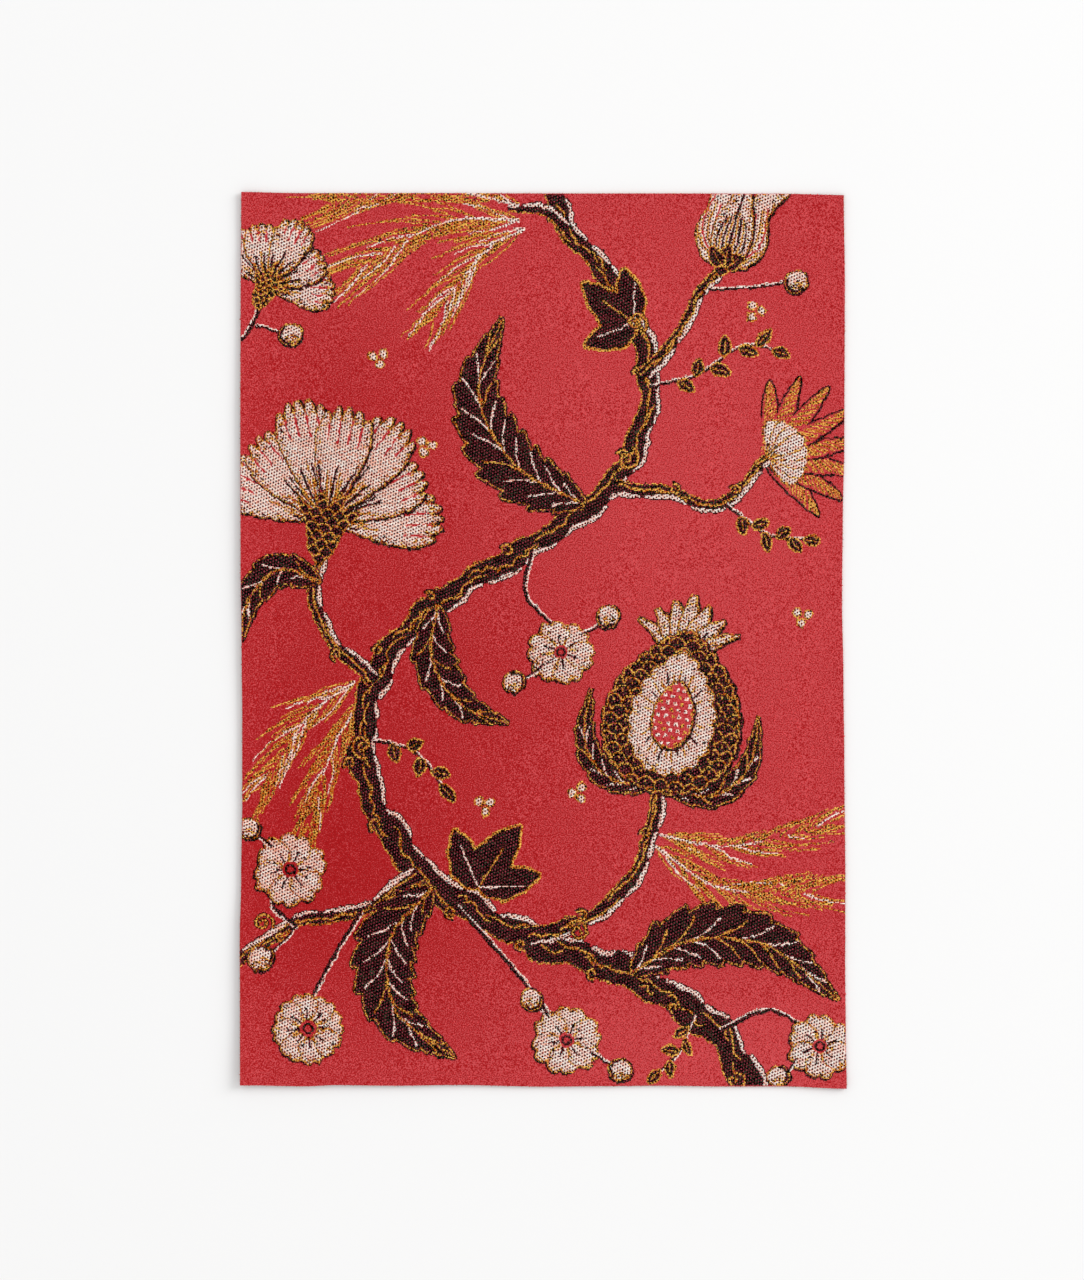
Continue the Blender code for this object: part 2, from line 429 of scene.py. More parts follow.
def rosette(centre, radius, petals=5, turn=0.0, squash=1.0, shade=230.0):
    """Open flower of round petals: red eye, dark ring, short rays, one side mottled with gold."""
    size = np.array([1.0, squash])
    centre = np.array(centre, float)
    shapes = []
    for k in range(petals):
        a = math.radians(turn + 360.0 * k / petals)
        t = np.linspace(0, 2 * np.pi, 44, endpoint=False)
        r = radius * {5: 0.47, 6: 0.41, 8: 0.33}[petals]
        r = r * (1.0 + 0.05 * np.sin(3 * t + k) - 0.30 * np.exp(-((np.cos(t - a) - 1) ** 2) / 0.0015))
        mid = np.array([math.cos(a), math.sin(a)]) * radius * 0.58
        shapes.append(centre + (mid + np.stack([np.cos(t) * r, np.sin(t) * r], axis=1)) * size)
    drop = np.array([math.cos(math.radians(shade)), math.sin(math.radians(shade))]) * 0.35
    for s in shapes:
        paint([ribbon(closed(s + drop), 1.8)], DARK)
    for s in shapes:
        paint([ribbon(closed(s), 1.2)], GOLD)
    lit = drop / 0.35
    for s in shapes:
        paint([ribbon(closed(s), 0.9)], GOLD)
        paint([s], CREAM)
        bead([ribbon(closed(s), 1.2)], 0.2)
        inner = mask_of([s])
        mottled(s, inner, 2.4, 0.14)
        mottled(s + lit * radius * 0.12, inner, 3.2, 0.26, side=mask_of([s + lit * radius * 0.30]))
    eye = np.linspace(0, 2 * np.pi, 36)
    for k in range(petals * 2):
        b = math.radians(turn + 180.0 * k / petals + 18)
        d = np.array([math.cos(b), math.sin(b)]) * size
        line([centre + d * radius * 0.18, centre + d * radius * (0.42 + 0.05 * (k % 2))], 0.6, DARK if k % 2 else GOLD)
        tip = centre + d * radius * (0.46 + 0.05 * (k % 2))
        line([tip - (0.45, 0), tip + (0.45, 0)], 0.6, DARK)
    ring = centre + np.stack([np.cos(eye), np.sin(eye)], axis=1) * size * radius * 0.22
    paint([ring], GROUND)
    small = centre + np.stack([np.cos(eye), np.sin(eye)], axis=1) * size * radius * 0.12
    paint([ribbon(small, 0.8)], DARK)


def bud(centre, radius, aim=90.0, long=1.12, stalk=None, cup=True):
    """Round bud on a stalk: cream, mottled with gold on its lower side, with a dark line below."""
    centre = np.array(centre, float)
    if stalk is not None:
        thin([stalk, (centre + stalk) / 2 + (0.8, -0.6), centre], 0.9)
    a = np.linspace(0, 2 * np.pi, 40, endpoint=False)
    loop = place(np.stack([np.cos(a) * radius, np.sin(a) * radius * long], axis=1), centre, aim)
    inner = outlined(loop, CREAM, DARK, GOLD, 2.1, 1.2, (0.15, -0.35))
    low = loop + (0.1, -radius * 0.95)
    flecks([low], GOLD, 0.75, inner, 5, 12)
    flecks([low], DARK, 0.22, inner, 4, 8)
    if cup:
        for way in (-1, 1):
            cup_line = np.array([[0, -radius * long], [way * radius * 0.6, -radius * long * 0.72],
                                 [way * radius * 0.95, -radius * 0.25]])
            line(place(cup_line, centre, aim), 0.8, DARK)


def spray(spine, reach, angle=17.0, gap=1.15, near=0.0, light=0.12, keep=0.62, rib=CREAM):
    """Grassy gold spray: long hairs close to the spine's direction, open towards their tips."""
    path = curve(spine, 0.4)
    length = np.hypot(*np.diff(path, axis=0).T).sum()
    count = int(length / gap)
    order = chance.permutation(count)
    for k in order:
        t = near + (1 - near) * (k + chance.random()) / count
        p, d, left = at_run(path, min(t, 0.995))
        for way in (-1, 1):
            if chance.random() > keep:
                continue
            r = reach * (0.45 + 0.55 * math.sin(math.pi * min(1.0, 0.18 + t * 0.70))) * chance.uniform(0.6, 1.15)
            b = math.radians(angle * chance.uniform(0.55, 1.35))
            out = d * math.cos(b) + left * way * math.sin(b)
            start = p + left * way * chance.uniform(0.0, 0.5)
            mid = start + out * r * 0.5 + left * way * r * 0.05
            tip = start + out * r + d * r * 0.10
            hair = curve([start, mid, tip], 0.4)
            yarn = CREAM if chance.random() < light else GOLD
            paint([ribbon(hair, np.linspace(0.66, 0.42, len(hair)))], yarn)
    area = ribbon(path, np.linspace(2.0, reach * 0.75, len(path)))
    golden = plan == GOLD
    flecks([area], GROUND, 0.13, golden, 3, 7)
    flecks([area], DARK, 0.09, golden, 3, 6)
    if rib is not None:
        part = path[: int(len(path) * 0.62)]
        paint([ribbon(part, np.linspace(0.95, 0.5, len(part)))], rib)


def blade(base, aim, length, width, bend=0.0, edge=DARK, hatch=GOLD, both=False):
    """Long open blade: a fine dark line round it and slanting gold strokes with red between."""
    t = np.linspace(0, 1, 40)
    half = width / 2 * np.sin(np.pi * np.clip(t, 0, 1) ** 0.62) ** 0.55
    axis = np.stack([bend * length * t ** 2, t * length * (1 - 0.25 * abs(bend) * t)], axis=1)
    left = place(axis - np.stack([half, 0 * half], 1), base, aim)
    right = place(axis + np.stack([half, 0 * half], 1), base, aim)
    loop = np.concatenate([left, right[::-1]])
    paint([loop], GROUND)
    inner = mask_of([loop])
    k = 0.06
    while k < 0.97:
        i = int(k * 39)
        j = min(39, i + int(39 * 4.6 / length) + 1)
        a = left[i] * 0.85 + right[i] * 0.15
        b = left[j] * 0.15 + right[j] * 0.85
        line([a, (a + b) / 2, b], 0.50, hatch, inner)
        k += chance.uniform(0.85, 1.15) * 1.35 / length
    paint([ribbon(right, 0.72)], edge)
    paint([ribbon(left[int(len(left) * 0.5):], 0.55)], edge)
    if both:
        paint([ribbon(left, 0.6)], edge)
    return loop


def fan(base, aim, radius, blades=9, spread=80.0, cover=0.42, bend=0.10):
    """Half palmette: open hatched blades with a short row of cream petals over their feet."""
    order = sorted(range(blades), key=lambda k: -abs(k - (blades - 1) / 2))
    for k in order:
        f = k / (blades - 1) * 2 - 1
        blade(base, aim + f * spread, radius * (1.0 - 0.20 * f * f), radius * 0.21, bend=-f * bend)
    for k in order:
        f = k / (blades - 1) * 2 - 1
        petal(base, aim + f * spread * 0.94, radius * cover * (1 - 0.10 * abs(f)), radius * 0.15, crown=0,
              outer=None, rim=GOLD, hatches=2, reach=0.5, mottle=0.0)


def carnation(base, aim, radius, petals=7, spread=76.0, width=0.42):
    """Fan-shaped flower: toothed cream petals over each other, gold rays, scaled dark cup."""
    order = sorted(range(petals), key=lambda k: -abs(k - (petals - 1) / 2))
    for k in order:
        f = k / (petals - 1) * 2 - 1
        length = radius * (1.0 - 0.10 * abs(f)) * (1.0 if k % 2 == 0 else 0.90)
        petal(base, aim + f * spread, length, radius * width, crown=5, notch=0.10,
              hatches=7, reach=0.62, slits=4, mottle=0.22)
    for k in range(15):
        f = k / 14 * 2 - 1
        a = math.radians(aim + f * spread * 0.86)
        d = np.array([math.cos(a), math.sin(a)])
        n = np.array([-d[1], d[0]])
        r = radius * (0.36 + 0.10 * (k % 2))
        line([np.array(base) + d * radius * 0.10, np.array(base) + d * r * 0.6 + n * 0.3, np.array(base) + d * r],
             0.75, DARK if k % 2 else GOLD)
    cup = np.array([[-0.03, -0.30], [-0.10, -0.20], [-0.14, -0.04], [-0.24, 0.14], [-0.12, 0.08],
                    [-0.08, 0.24], [0.0, 0.11], [0.08, 0.24], [0.12, 0.08], [0.24, 0.14],
                    [0.14, -0.04], [0.10, -0.20], [0.03, -0.30]]) * radius
    loop = curve(closed(place(cup, base, aim))[:-1], 0.5)
    inner = outlined(loop, DARK, None, GOLD)
    scales(inner, base, aim, radius * 0.5, radius * 0.6, radius * 0.095)


def tulip(base, aim, length, width):
    """Tall flower of three pointed petals with flecks and a dark middle rib."""
    for way in (-1, 1):
        side = place(np.array([[0, 0], [way * 0.34, 0.06], [way * 0.52, 0.32], [way * 0.44, 0.62],
                               [way * 0.66, 1.0], [way * 0.28, 0.86], [way * 0.06, 0.52]])
                     * (width, length), base, aim)
        side = curve(closed(side)[:-1], 0.5)
        inner = outlined(side, CREAM)
        mottled(side, inner, 4.4, 0.24)
        for k in range(6):
            u = 0.10 + 0.08 * k
            rib = np.array([[way * u * 0.5, 0.08], [way * (u + 0.03), 0.34], [way * (u * 0.9 + 0.03), 0.52 + 0.05 * k]])
            line(place(rib * (width, length), base, aim), 0.65, GOLD if k % 2 else GROUND, inner)
    mid = np.array([[0, 0.0], [-0.21, 0.10], [-0.28, 0.38], [-0.16, 0.68], [0.0, 0.97], [0.16, 0.68],
                    [0.28, 0.38], [0.21, 0.10]]) * (width, length)
    mid = curve(closed(place(mid, base, aim))[:-1], 0.5)
    inner = outlined(mid, CREAM)
    mottled(mid, inner, 3.8, 0.26)
    for k in range(9):
        u = (k - 4) / 4
        rib = np.array([[u * 0.13, 0.02], [u * 0.21, 0.30], [u * 0.14, 0.62 - 0.12 * abs(u)]]) * (width, length)
        line(place(rib, base, aim), 0.65, GOLD if k % 2 else DARK, inner)
    rib = np.array([[0, 0.0], [0.0, 0.5], [0.0, 0.86]]) * (width, length)
    line(place(rib, base, aim), 0.9, DARK, inner)
    for way in (-1, 0, 1):
        small_leaf(base, aim + way * 48, length * 0.24, width * 0.20)
    small_leaf(np.array(base), aim + 180, length * 0.10, width * 0.18, rib=False)


def pomegranate(centre, aim, width, height):
    """Large fruit: broad ogee outline, gold scales on dark, an opened cream heart, a flared crown."""
    for k in range(7):                                    # crown
        f = (k - 3) / 3
        base = np.array([f * width * 0.10, height * 0.40])
        long = height * (0.44 - 0.10 * f * f)
        t = np.linspace(0, 1, 24)
        half = width * 0.070 * np.sin(np.pi * t ** 0.8) ** 0.8
        axis = np.stack([f * width * 0.30 * t ** 1.6, t * long * (1 - 0.35 * abs(f) * t)], axis=1) + base
        loop = place(np.concatenate([axis - np.stack([half, 0 * half], 1),
                                     (axis + np.stack([half, 0 * half], 1))[::-1]]), centre, aim)
        inner = outlined(loop, CREAM, DARK, GOLD, 2.2, 1.2)
        mottled(loop, inner, 3.0, 0.24)
        line(place(axis[2:15], centre, aim), 0.7, DARK if k % 2 else GOLD, inner)
    for way in (-1, 1):                                   # leaves that clasp its foot
        leaf(place([(way * width * 0.05, -height * 0.50), (way * width * 0.42, -height * 0.48),
                    (way * width * 0.64, -height * 0.26), (way * width * 0.66, height * 0.10)], centre, aim),
             width * 0.20, teeth=7, lean=0.1 * way)
    a = np.linspace(0, 2 * np.pi, 140, endpoint=False)

    def ogee(w, h, pinch=0.16):
        x = np.cos(a) * w / 2 * (1.0 - pinch * np.sin(a)) * (1.0 - 0.22 * np.clip(np.sin(a), 0, 1) ** 6)
        y = np.sin(a) * h / 2 + 0.07 * h * np.clip(np.sin(a), 0, 1) ** 8
        return np.stack([x, y], axis=1)

    body = place(ogee(width, height), centre, aim)
    scallop = body + side_of(closed(body))[:-2] * (-0.9 * np.abs(np.sin(a * 14)))[:, None]
    inner = outlined(scallop, DARK, DARK, GOLD, 2.8, 1.5)
    scales(inner, centre, aim, width * 1.15, height * 1.25, 5.2, seed_yarn=GOLD)
    ring = place(ogee(width * 0.60, height * 0.74, 0.10), centre, aim)
    toothed = ring + side_of(closed(ring))[:-2] * (-1.5 * np.abs(np.sin(a * 9)))[:, None]
    middle = outlined(toothed, CREAM, DARK, GOLD, 2.4, 1.2)
    mottled(toothed, middle, 3.6, 0.24)
    for k in range(30):
        b = 2 * np.pi * (k + 0.5) / 30
        if abs(math.sin(b + math.radians(aim - 90))) < 0.25:
            continue
        d = np.array([math.cos(b) * width * 0.30, math.sin(b) * height * 0.37])
        line(place([d * 0.56, d * (0.78 + 0.08 * (k % 2))], centre, aim), 0.62, GOLD if k % 3 else DARK, middle)
    lens = place(ogee(width * 0.30, height * 0.42, 0.05), centre, aim)
    core = outlined(lens, GROUND, DARK, GOLD, 2.2, 1.2)
    for r in range(-6, 7):
        for c in range(-4, 5):
            p = np.array([(c + (0.5 if r % 2 else 0)) * 2.5, r * 2.3])
            q = place([p - (0.0, 0.55), p + (0.0, 0.55)], centre, aim)
            paint([ribbon(q, 1.2)], CREAM if (r + c) % 3 else GOLD, core)


def dots(centre, gap=3.6, radius=1.2, turn=0.0):
    """Three cream dots, each with a gold rim."""
    a = np.linspace(0, 2 * np.pi, 20, endpoint=False)
    for k in range(3):
        b = math.radians(turn + 120 * k)
        p = np.array(centre) + np.array([math.cos(b), math.sin(b)]) * gap * 0.6
        outlined(p + np.stack([np.cos(a), np.sin(a)], axis=1) * radius, CREAM, None, GOLD, 0, 1.1)


# -- layout --

# x and y of the foot, middle and tip, length of the hairs, how many are kept
SPRAYS = (
    (38, -70, 60, -84, 94, -86, 21.0, 0.60), (39, -66, 64, -70, 98, -62, 19.0, 0.55),
    (-8, 143, -34, 142, -64, 126, 24.0, 0.62), (-8, 148, -40, 154, -74, 148, 22.0, 0.55),
    (-6, 140, -20, 132, -38, 108, 20.0, 0.55),
    (-64, -14, -80, -26, -96, -50, 20.0, 0.60), (-62, -20, -72, -38, -80, -64, 17.0, 0.55),
)
# x, y, radius, petals, turn, squash
ROSETTES = (
    (-86, -78, 12.5, 6, 18, 1.0), (6, -4, 11.5, 6, 50, 0.94), (-80, -132, 13.0, 8, 10, 1.0),
    (8, -136, 12.0, 6, 80, 0.96), (94, -138, 11.0, 6, 30, 1.0),
)
# x, y, radius, aim, foot of its stalk
BUDS = (
    (86, 122, 3.2, 60, (56, 119)),
    (-86, 104, 3.2, 20, (-98, 107)), (-96, -108, 3.6, 220, (-84, -97)), (26, -146, 3.2, -20, (16, -140)),
    (-4, -122, 3.0, 120, (2, -128)), (80, -148, 3.0, 200, (86, -142)), (-100, -64, 3.0, 150, (-92, -70)),
    (22, 8, 3.2, 60, (13, 2)), (-10, -14, 3.0, 220, (0, -8)),
)


def draw_figure():
    for x1, y1, x2, y2, x3, y3, reach, keep in SPRAYS:
        spray([(x1, y1), (x2, y2), (x3, y3)], reach, keep=keep)
    fan((76, 62), 20, 34, 8, 62)

    # the long winding stem and its side shoots
    stem([(72, -158), (60, -134), (30, -114), (-8, -100), (-40, -80), (-60, -48), (-57, -12), (-34, 14), (-4, 32),
          (24, 54), (36, 84), (28, 116), (8, 140), (2, 158)], 9.6, 5.2, scrolls=15)
    stem([(-6, -101), (16, -94), (32, -78), (40, -50)], 4.6, 3.4, scrolls=2)
    stem([(8, 140), (0, 146), (-12, 147)], 2.6, 1.6)
    stem([(-57, -14), (-72, 0), (-78, 16), (-74, 32)], 3.8, 2.6, scrolls=2)
    stem([(24, 52), (44, 50), (60, 46), (76, 62)], 3.6, 2.4, scrolls=2)
    stem([(-42, -79), (-62, -92), (-84, -96), (-108, -112)], 3.8, 2.6, scrolls=2)
    stem([(34, 90), (46, 104), (52, 116), (61, 127)], 3.2, 2.2)
    thin([(60, -133), (76, -126), (90, -132)], 1.5)
    thin([(-84, -97), (-92, -90), (-88, -82)], 1.4)
    thin([(-4, 31), (-6, 16), (4, 4)], 1.4)
    thin([(-108, 98), (-101, 104), (-96, 113)], 1.6)
    thin([(-30, -90), (-10, -112), (4, -130)], 1.5)
    thin([(-62, -92), (-74, -112), (-80, -124)], 1.5)

    leaf([(30, -113), (50, -102), (76, -104), (100, -122)], 22, teeth=10, lean=0.12)
    leaf([(-38, -84), (-52, -102), (-50, -126), (-30, -142)], 22, teeth=10, lean=-0.12)
    leaf([(14, 46), (-10, 60), (-22, 84), (-14, 110)], 22, teeth=10, lean=0.1)
    leaf([(-36, 12), (-38, -6), (-28, -22), (-12, -28)], 15, teeth=7, lean=0.1)
    lobed((-22, -84), 62, 25, 3)
    lobed((31, 108), 150, 22, 3)
    leaf([(-76, 20), (-90, 24), (-100, 14), (-103, 0)], 12, teeth=5)

    pomegranate((44, -26), 80, 44, 50)
    carnation((-74, 40), 78, 44)
    carnation((-94, 120), 62, 25, 5, 66.0, 0.50)
    tulip((61, 127), 74, 33, 23)
    sprig([(36, 86), (52, 90), (68, 100), (80, 98)], 7)
    sprig([(-58, -34), (-44, -38), (-34, -50)], 5)
    sprig([(51, -127), (47, -138), (39, -147)], 5, 5.5, 2.8)
    sprig([(62, 46), (76, 36), (90, 34)], 6, 6.0, 3.0)
    for x, y, radius, petals, turn, squash in ROSETTES:
        rosette((x, y), radius, petals, turn, squash)
    for x, y, radius, aim, foot in BUDS:
        bud((x, y), radius, aim, stalk=np.array(foot, float))
    curl((-60, -40), 200, 4.6, 1)
    curl((30, 66), -20, 4.6, 1)
    curl((8, -97), 62, 4.4, 1)
    curl((-92, -98), 60, 4.0, -1)
    curl((33, 104), 20, 4.4, -1)
    for x, y, turn in ((12, -52, 60), (-40, 66, 10), (88, 8, 20), (-56, 96, 45), (-20, -56, 30), (72, 112, 0)):
        dots((x, y), turn=turn)


def unevenness(cells_x, cells_y):
    """Smooth random field over the whole plan, about -1 to 1."""
    coarse = chance.normal(0, 0.5, (cells_y + 2, cells_x + 2))
    y = np.linspace(0, cells_y, ROWS)
    x = np.linspace(0, cells_x, COLS)
    j, i = y.astype(int), x.astype(int)
    fy, fx = (y - j)[:, None], (x - i)[None, :]
    fy, fx = fy * fy * (3 - 2 * fy), fx * fx * (3 - 2 * fx)
    return ((coarse[j][:, i] * (1 - fx) + coarse[j][:, i + 1] * fx) * (1 - fy)
            + (coarse[j + 1][:, i] * (1 - fx) + coarse[j + 1][:, i + 1] * fx) * fy)


def woven(drawn):
    """The drawn figure as the loom gives it: every edge wanders by a pick and a few ends."""
    aside = 3.2 * unevenness(100, 150) + 2.2 * unevenness(200, 790)
    along_warp = 1.1 * unevenness(150, 170)
    rows = np.clip(np.rint(np.arange(ROWS)[:, None] + along_warp).astype(int), 0, ROWS - 1)
    cols = np.clip(np.rint(np.arange(COLS)[None, :] + aside).astype(int), 0, COLS - 1)
    return drawn[rows, cols]


draw_figure()
plan = woven(plan)
# ---- figure plan: end --------------------------------------------------------

MM = 0.001

# ---- form of the lying cloth (metres) ----------------------------------------
CUT_WIDTH, CUT_LENGTH = 0.2050, 0.3030
FINE_ZONE = 0.0140    # strip inside each edge over which its straying dies out
LEFT_REACH, FOOT_REACH, REST_REACH, REST_LIFT = 0.0140, 0.0112, 0.0056, 0.00012
CORNER_REACH, CORNER_LIFT = 0.0340, 0.00030
FACE = 0.00085        # height of the ground weave's face above the underside
FLOOR = -0.00004
SEAT = 0.00001         # height of a float's long edges above the ground weave
TIE_WIDTH, TIE_LENGTH = 0.64, 0.86    # mm, the diamond of binding warp over a joint between floats
TIE_SEAT, TIE_RISE = 0.105, 0.180     # mm, its corners and its crown above the floats' feet

# at: 0 at the lower or left end of the edge, 1 at its other end
#                    at    out_mm
LEFT_CUT = (
    (0.000, 0.49), (0.096, 0.53), (0.163, 0.63), (0.230, 0.19), (0.320, -0.19),
    (0.410, -0.19), (0.499, 0.02), (0.589, 0.36), (0.724, 0.46), (0.858, 0.39),
    (1.000, 0.15),
)
RIGHT_CUT = (
    (0.000, 0.63), (0.050, 0.35), (0.140, 0.12), (0.230, 0.18), (0.365, -0.16),
    (0.455, -0.46), (0.544, -0.94), (0.634, -0.70), (0.724, -0.16), (0.903, 0.01),
    (1.000, -0.36),
)
FOOT_CUT = (
    (0.000, -0.37), (0.106, 0.01), (0.156, -0.40), (0.255, -0.16), (0.354, -0.40),
    (0.503, 0.18), (0.603, 0.01), (0.702, -0.13), (0.800, 0.14), (0.900, 0.11),
    (1.000, 0.89),
)
HEAD_CUT = (
    (0.000, 0.89), (0.106, 0.55), (0.305, 0.59), (0.503, 0.45), (0.702, 0.45),
    (0.900, 0.32), (1.000, -0.13),
)
#                    at    lift_mm
LEFT_LIFT = (
    (0.00, 1.50), (0.12, 1.30), (0.25, 0.70), (0.40, 0.90), (0.55, 1.20),
    (0.75, 1.00), (0.90, 0.70), (1.00, 0.50),
)
FOOT_LIFT = (
    (0.00, 1.20), (0.15, 1.10), (0.30, 0.80), (0.50, 0.50), (0.70, 0.35),
    (0.85, 0.20), (1.00, 0.30),
)
# name, centre_x_mm, centre_y_mm, turn_deg, half_width_mm, half_length_mm, height_mm
SWELLS = (
    ("middle", 8.0, 38.0, 72.0, 52.0, 100.0, 0.75),
    ("lower left", -38.0, -72.0, 100.0, 40.0, 62.0, 0.60),
    ("lower right", 52.0, -104.0, 12.0, 26.0, 46.0, 0.45),
    ("upper left", -58.0, 96.0, 60.0, 24.0, 48.0, 0.35),
    ("right hand", 78.0, -28.0, 85.0, 18.0, 60.0, 0.30),
)
# Faint handling waves of the face: wave_mm, direction_deg, height_mm, phase
WAVES = (
    (31.0, 18.0, 0.045, 0.4), (23.0, 74.0, 0.030, 2.1), (17.0, 131.0, 0.022, 4.0),
    (12.5, 47.0, 0.013, 1.1), (9.4, 103.0, 0.009, 5.2),
)


def along(table, at):
    at = np.clip(np.asarray(at, float), 0.0, 1.0)
    stations = np.array([row[0] for row in table])
    values = np.array([row[1] for row in table])
    k = np.clip(np.searchsorted(stations, at, side="right") - 1, 0, len(table) - 2)
    t = (at - stations[k]) / (stations[k + 1] - stations[k])
    t = t * t * (3.0 - 2.0 * t)
    return values[k] * (1.0 - t) + values[k + 1] * t


def fade(distance):
    t = np.clip(1.0 - distance / FINE_ZONE, 0.0, 1.0)
    return t * t * (3.0 - 2.0 * t)


def outline(u, v):
    x, y = (u - 0.5) * CUT_WIDTH, (v - 0.5) * CUT_LENGTH
    stray_x = (along(RIGHT_CUT, v) * fade((1.0 - u) * CUT_WIDTH)
               - along(LEFT_CUT, v) * fade(u * CUT_WIDTH)) * MM
    stray_y = (along(HEAD_CUT, u) * fade((1.0 - v) * CUT_LENGTH)
               - along(FOOT_CUT, u) * fade(v * CUT_LENGTH)) * MM
    return x + stray_x, y + stray_y


def underside(x, y):
    """Height of the underside at a place on the cloth, before it is centred."""
    u = np.clip(x / CUT_WIDTH + 0.5, 0.0, 1.0)
    v = np.clip(y / CUT_LENGTH + 0.5, 0.0, 1.0)
    height = np.zeros_like(x)
    for _name, cx, cy, turn, half_width, half_length, rise in SWELLS:
        c, s = math.cos(math.radians(turn)), math.sin(math.radians(turn))
        dx, dy = x - cx * MM, y - cy * MM
        lengthwise = (dx * c + dy * s) / (half_length * MM)
        crosswise = (-dx * s + dy * c) / (half_width * MM)
        height += (rise * MM * np.clip(1.0 - lengthwise ** 2, 0.0, 1.0) ** 2
                   * np.clip(1.0 - crosswise ** 2, 0.0, 1.0) ** 2)
    from_left = np.clip(1.0 - (x + CUT_WIDTH / 2) / LEFT_REACH, 0.0, 1.1)
    from_foot = np.clip(1.0 - (y + CUT_LENGTH / 2) / FOOT_REACH, 0.0, 1.1)
    left = along(LEFT_LIFT, v) * MM * from_left ** 2
    foot = along(FOOT_LIFT, u) * MM * from_foot ** 2
    from_right = np.clip(1.0 - (CUT_WIDTH / 2 - x) / REST_REACH, 0.0, 1.1)
    from_head = np.clip(1.0 - (CUT_LENGTH / 2 - y) / REST_REACH, 0.0, 1.1)
    lying = REST_LIFT * np.hypot(from_right ** 2, from_head ** 2)
    inward = CUT_WIDTH / 2 - np.abs(x) + CUT_LENGTH / 2 - np.abs(y)
    curl_up = CORNER_LIFT * np.clip(1.0 - inward / CORNER_REACH, 0.0, 1.1) ** 2
    return height + np.hypot(left, foot) + lying + curl_up


def face(x, y):
    """Height of the ground weave's face at a place on the cloth."""
    z = underside(x, y) + FACE
    for wave, turn, height, phase in WAVES:
        c, s = math.cos(math.radians(turn)), math.sin(math.radians(turn))
        across, run = (x * c + y * s) / MM, (y * c - x * s) / MM
        z = z + height * MM * np.sin(2 * np.pi * across / wave + phase
                                     + 0.9 * np.sin(2 * np.pi * run / (wave * 2.7) + phase))
    return z


# Broad painted light (+) and painted shade (-) over the ground: centre_x_mm, centre_y_mm, radius_x_mm, radius_y_mm,
# amount
PAINTED_SHADING = (
    (-78.0, -78.0, 46.0, 52.0, -1.7), (-66.0, 4.0, 52.0, 52.0, -0.8), (-66.0, 74.0, 44.0, 40.0, -0.8),
    (-16.0, -88.0, 44.0, 50.0, -0.4), (-16.0, -20.0, 34.0, 40.0, -0.4), (62.0, -140.0, 56.0, 20.0, 0.85),
    (44.0, 70.0, 72.0, 66.0, 0.45), (72.0, 0.0, 40.0, 60.0, 0.3),
)


def painted_shading(x, y):
    """Painted light (+) and painted shade (-) over the ground, in broad patches; x and y in metres."""
    amount = np.zeros(np.shape(x))
    for cx, cy, rx, ry, share in PAINTED_SHADING:
        amount = amount + share * np.exp(-((x / MM - cx) / rx) ** 2 - ((y / MM - cy) / ry) ** 2)
    return amount


edge_u, edge_v = np.meshgrid(np.linspace(0, 1, 401), np.linspace(0, 1, 401))
edge_x, edge_y = outline(edge_u, edge_v)
CENTRE = np.array([(edge_x.min() + edge_x.max()) / 2, (edge_y.min() + edge_y.max()) / 2])


# ---- meshes ------------------------------------------------------------------

def new_mesh(name, points, faces, smooth=True):
    """Mesh from an array of points and an array of faces with equal numbers of corners."""
    points = np.array(points, np.float64)
    points[:, :2] -= CENTRE
    mesh = bpy.data.meshes.new(name)
    mesh.vertices.add(len(points))
    mesh.vertices.foreach_set("co", points.astype(np.float32).ravel())
    corners = faces.shape[1]
    mesh.loops.add(len(faces) * corners)
    mesh.loops.foreach_set("vertex_index", faces.astype(np.int32).ravel())
    mesh.polygons.add(len(faces))
    mesh.polygons.foreach_set("loop_start", np.arange(len(faces), dtype=np.int32) * corners)
    mesh.update(calc_edges=True)
    mesh.validate()
    if smooth:
        mesh.polygons.foreach_set("use_smooth", np.ones(len(mesh.polygons), bool))
    return mesh


def lay_out(mesh, points, faces, part=None):
    """Flat map of the cloth seen from above, as the UV layer OFBake."""
    flat = points[:, :2] / np.array([0.2090, 0.3070]) + 0.5
    if part is not None:
        flat = part(flat)
    layer = mesh.uv_layers.new(name="OFBake")
    layer.data.foreach_set("uv", flat[faces.ravel()].astype(np.float32).ravel())


def give(mesh, name, values):
    mesh.attributes.new(name, "FLOAT", "POINT").data.foreach_set("value", values.astype(np.float32))


def put(name, mesh, material):
    mesh.materials.append(material)
    piece = bpy.data.objects.new(name, mesh)
    bpy.context.scene.collection.objects.link(piece)
    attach(piece, "root")
    return piece


# ---- materials ---------------------------------------------------------------

def shader_of(name):
    mat = bpy.data.materials.new(name)
    mat.use_nodes = True
    return mat, mat.node_tree, mat.node_tree.nodes["Principled BSDF"]


def node(tree, kind, **values):
    made = tree.nodes.new(kind)
    for key, value in values.items():
        if hasattr(made, key) and key not in made.inputs:
            setattr(made, key, value)
        else:
            made.inputs[key].default_value = value
    return made


def math_node(tree, operation, a, b=None, c=None):
    made = tree.nodes.new("ShaderNodeMath")
    made.operation = operation
    for k, value in enumerate((a, b, c)):
        if value is None:
            continue
        if isinstance(value, (int, float)):
            made.inputs[k].default_value = value
        else:
            tree.links.new(value, made.inputs[k])
    return made.outputs[0]


def noise(tree, vector, scale, detail=2.0, rough=0.5):
    made = tree.nodes.new("ShaderNodeTexNoise")
    made.inputs["Scale"].default_value = scale
    made.inputs["Detail"].default_value = detail
    made.inputs["Roughness"].default_value = rough
    tree.links.new(vector, made.inputs["Vector"])
    return made.outputs["Fac"]


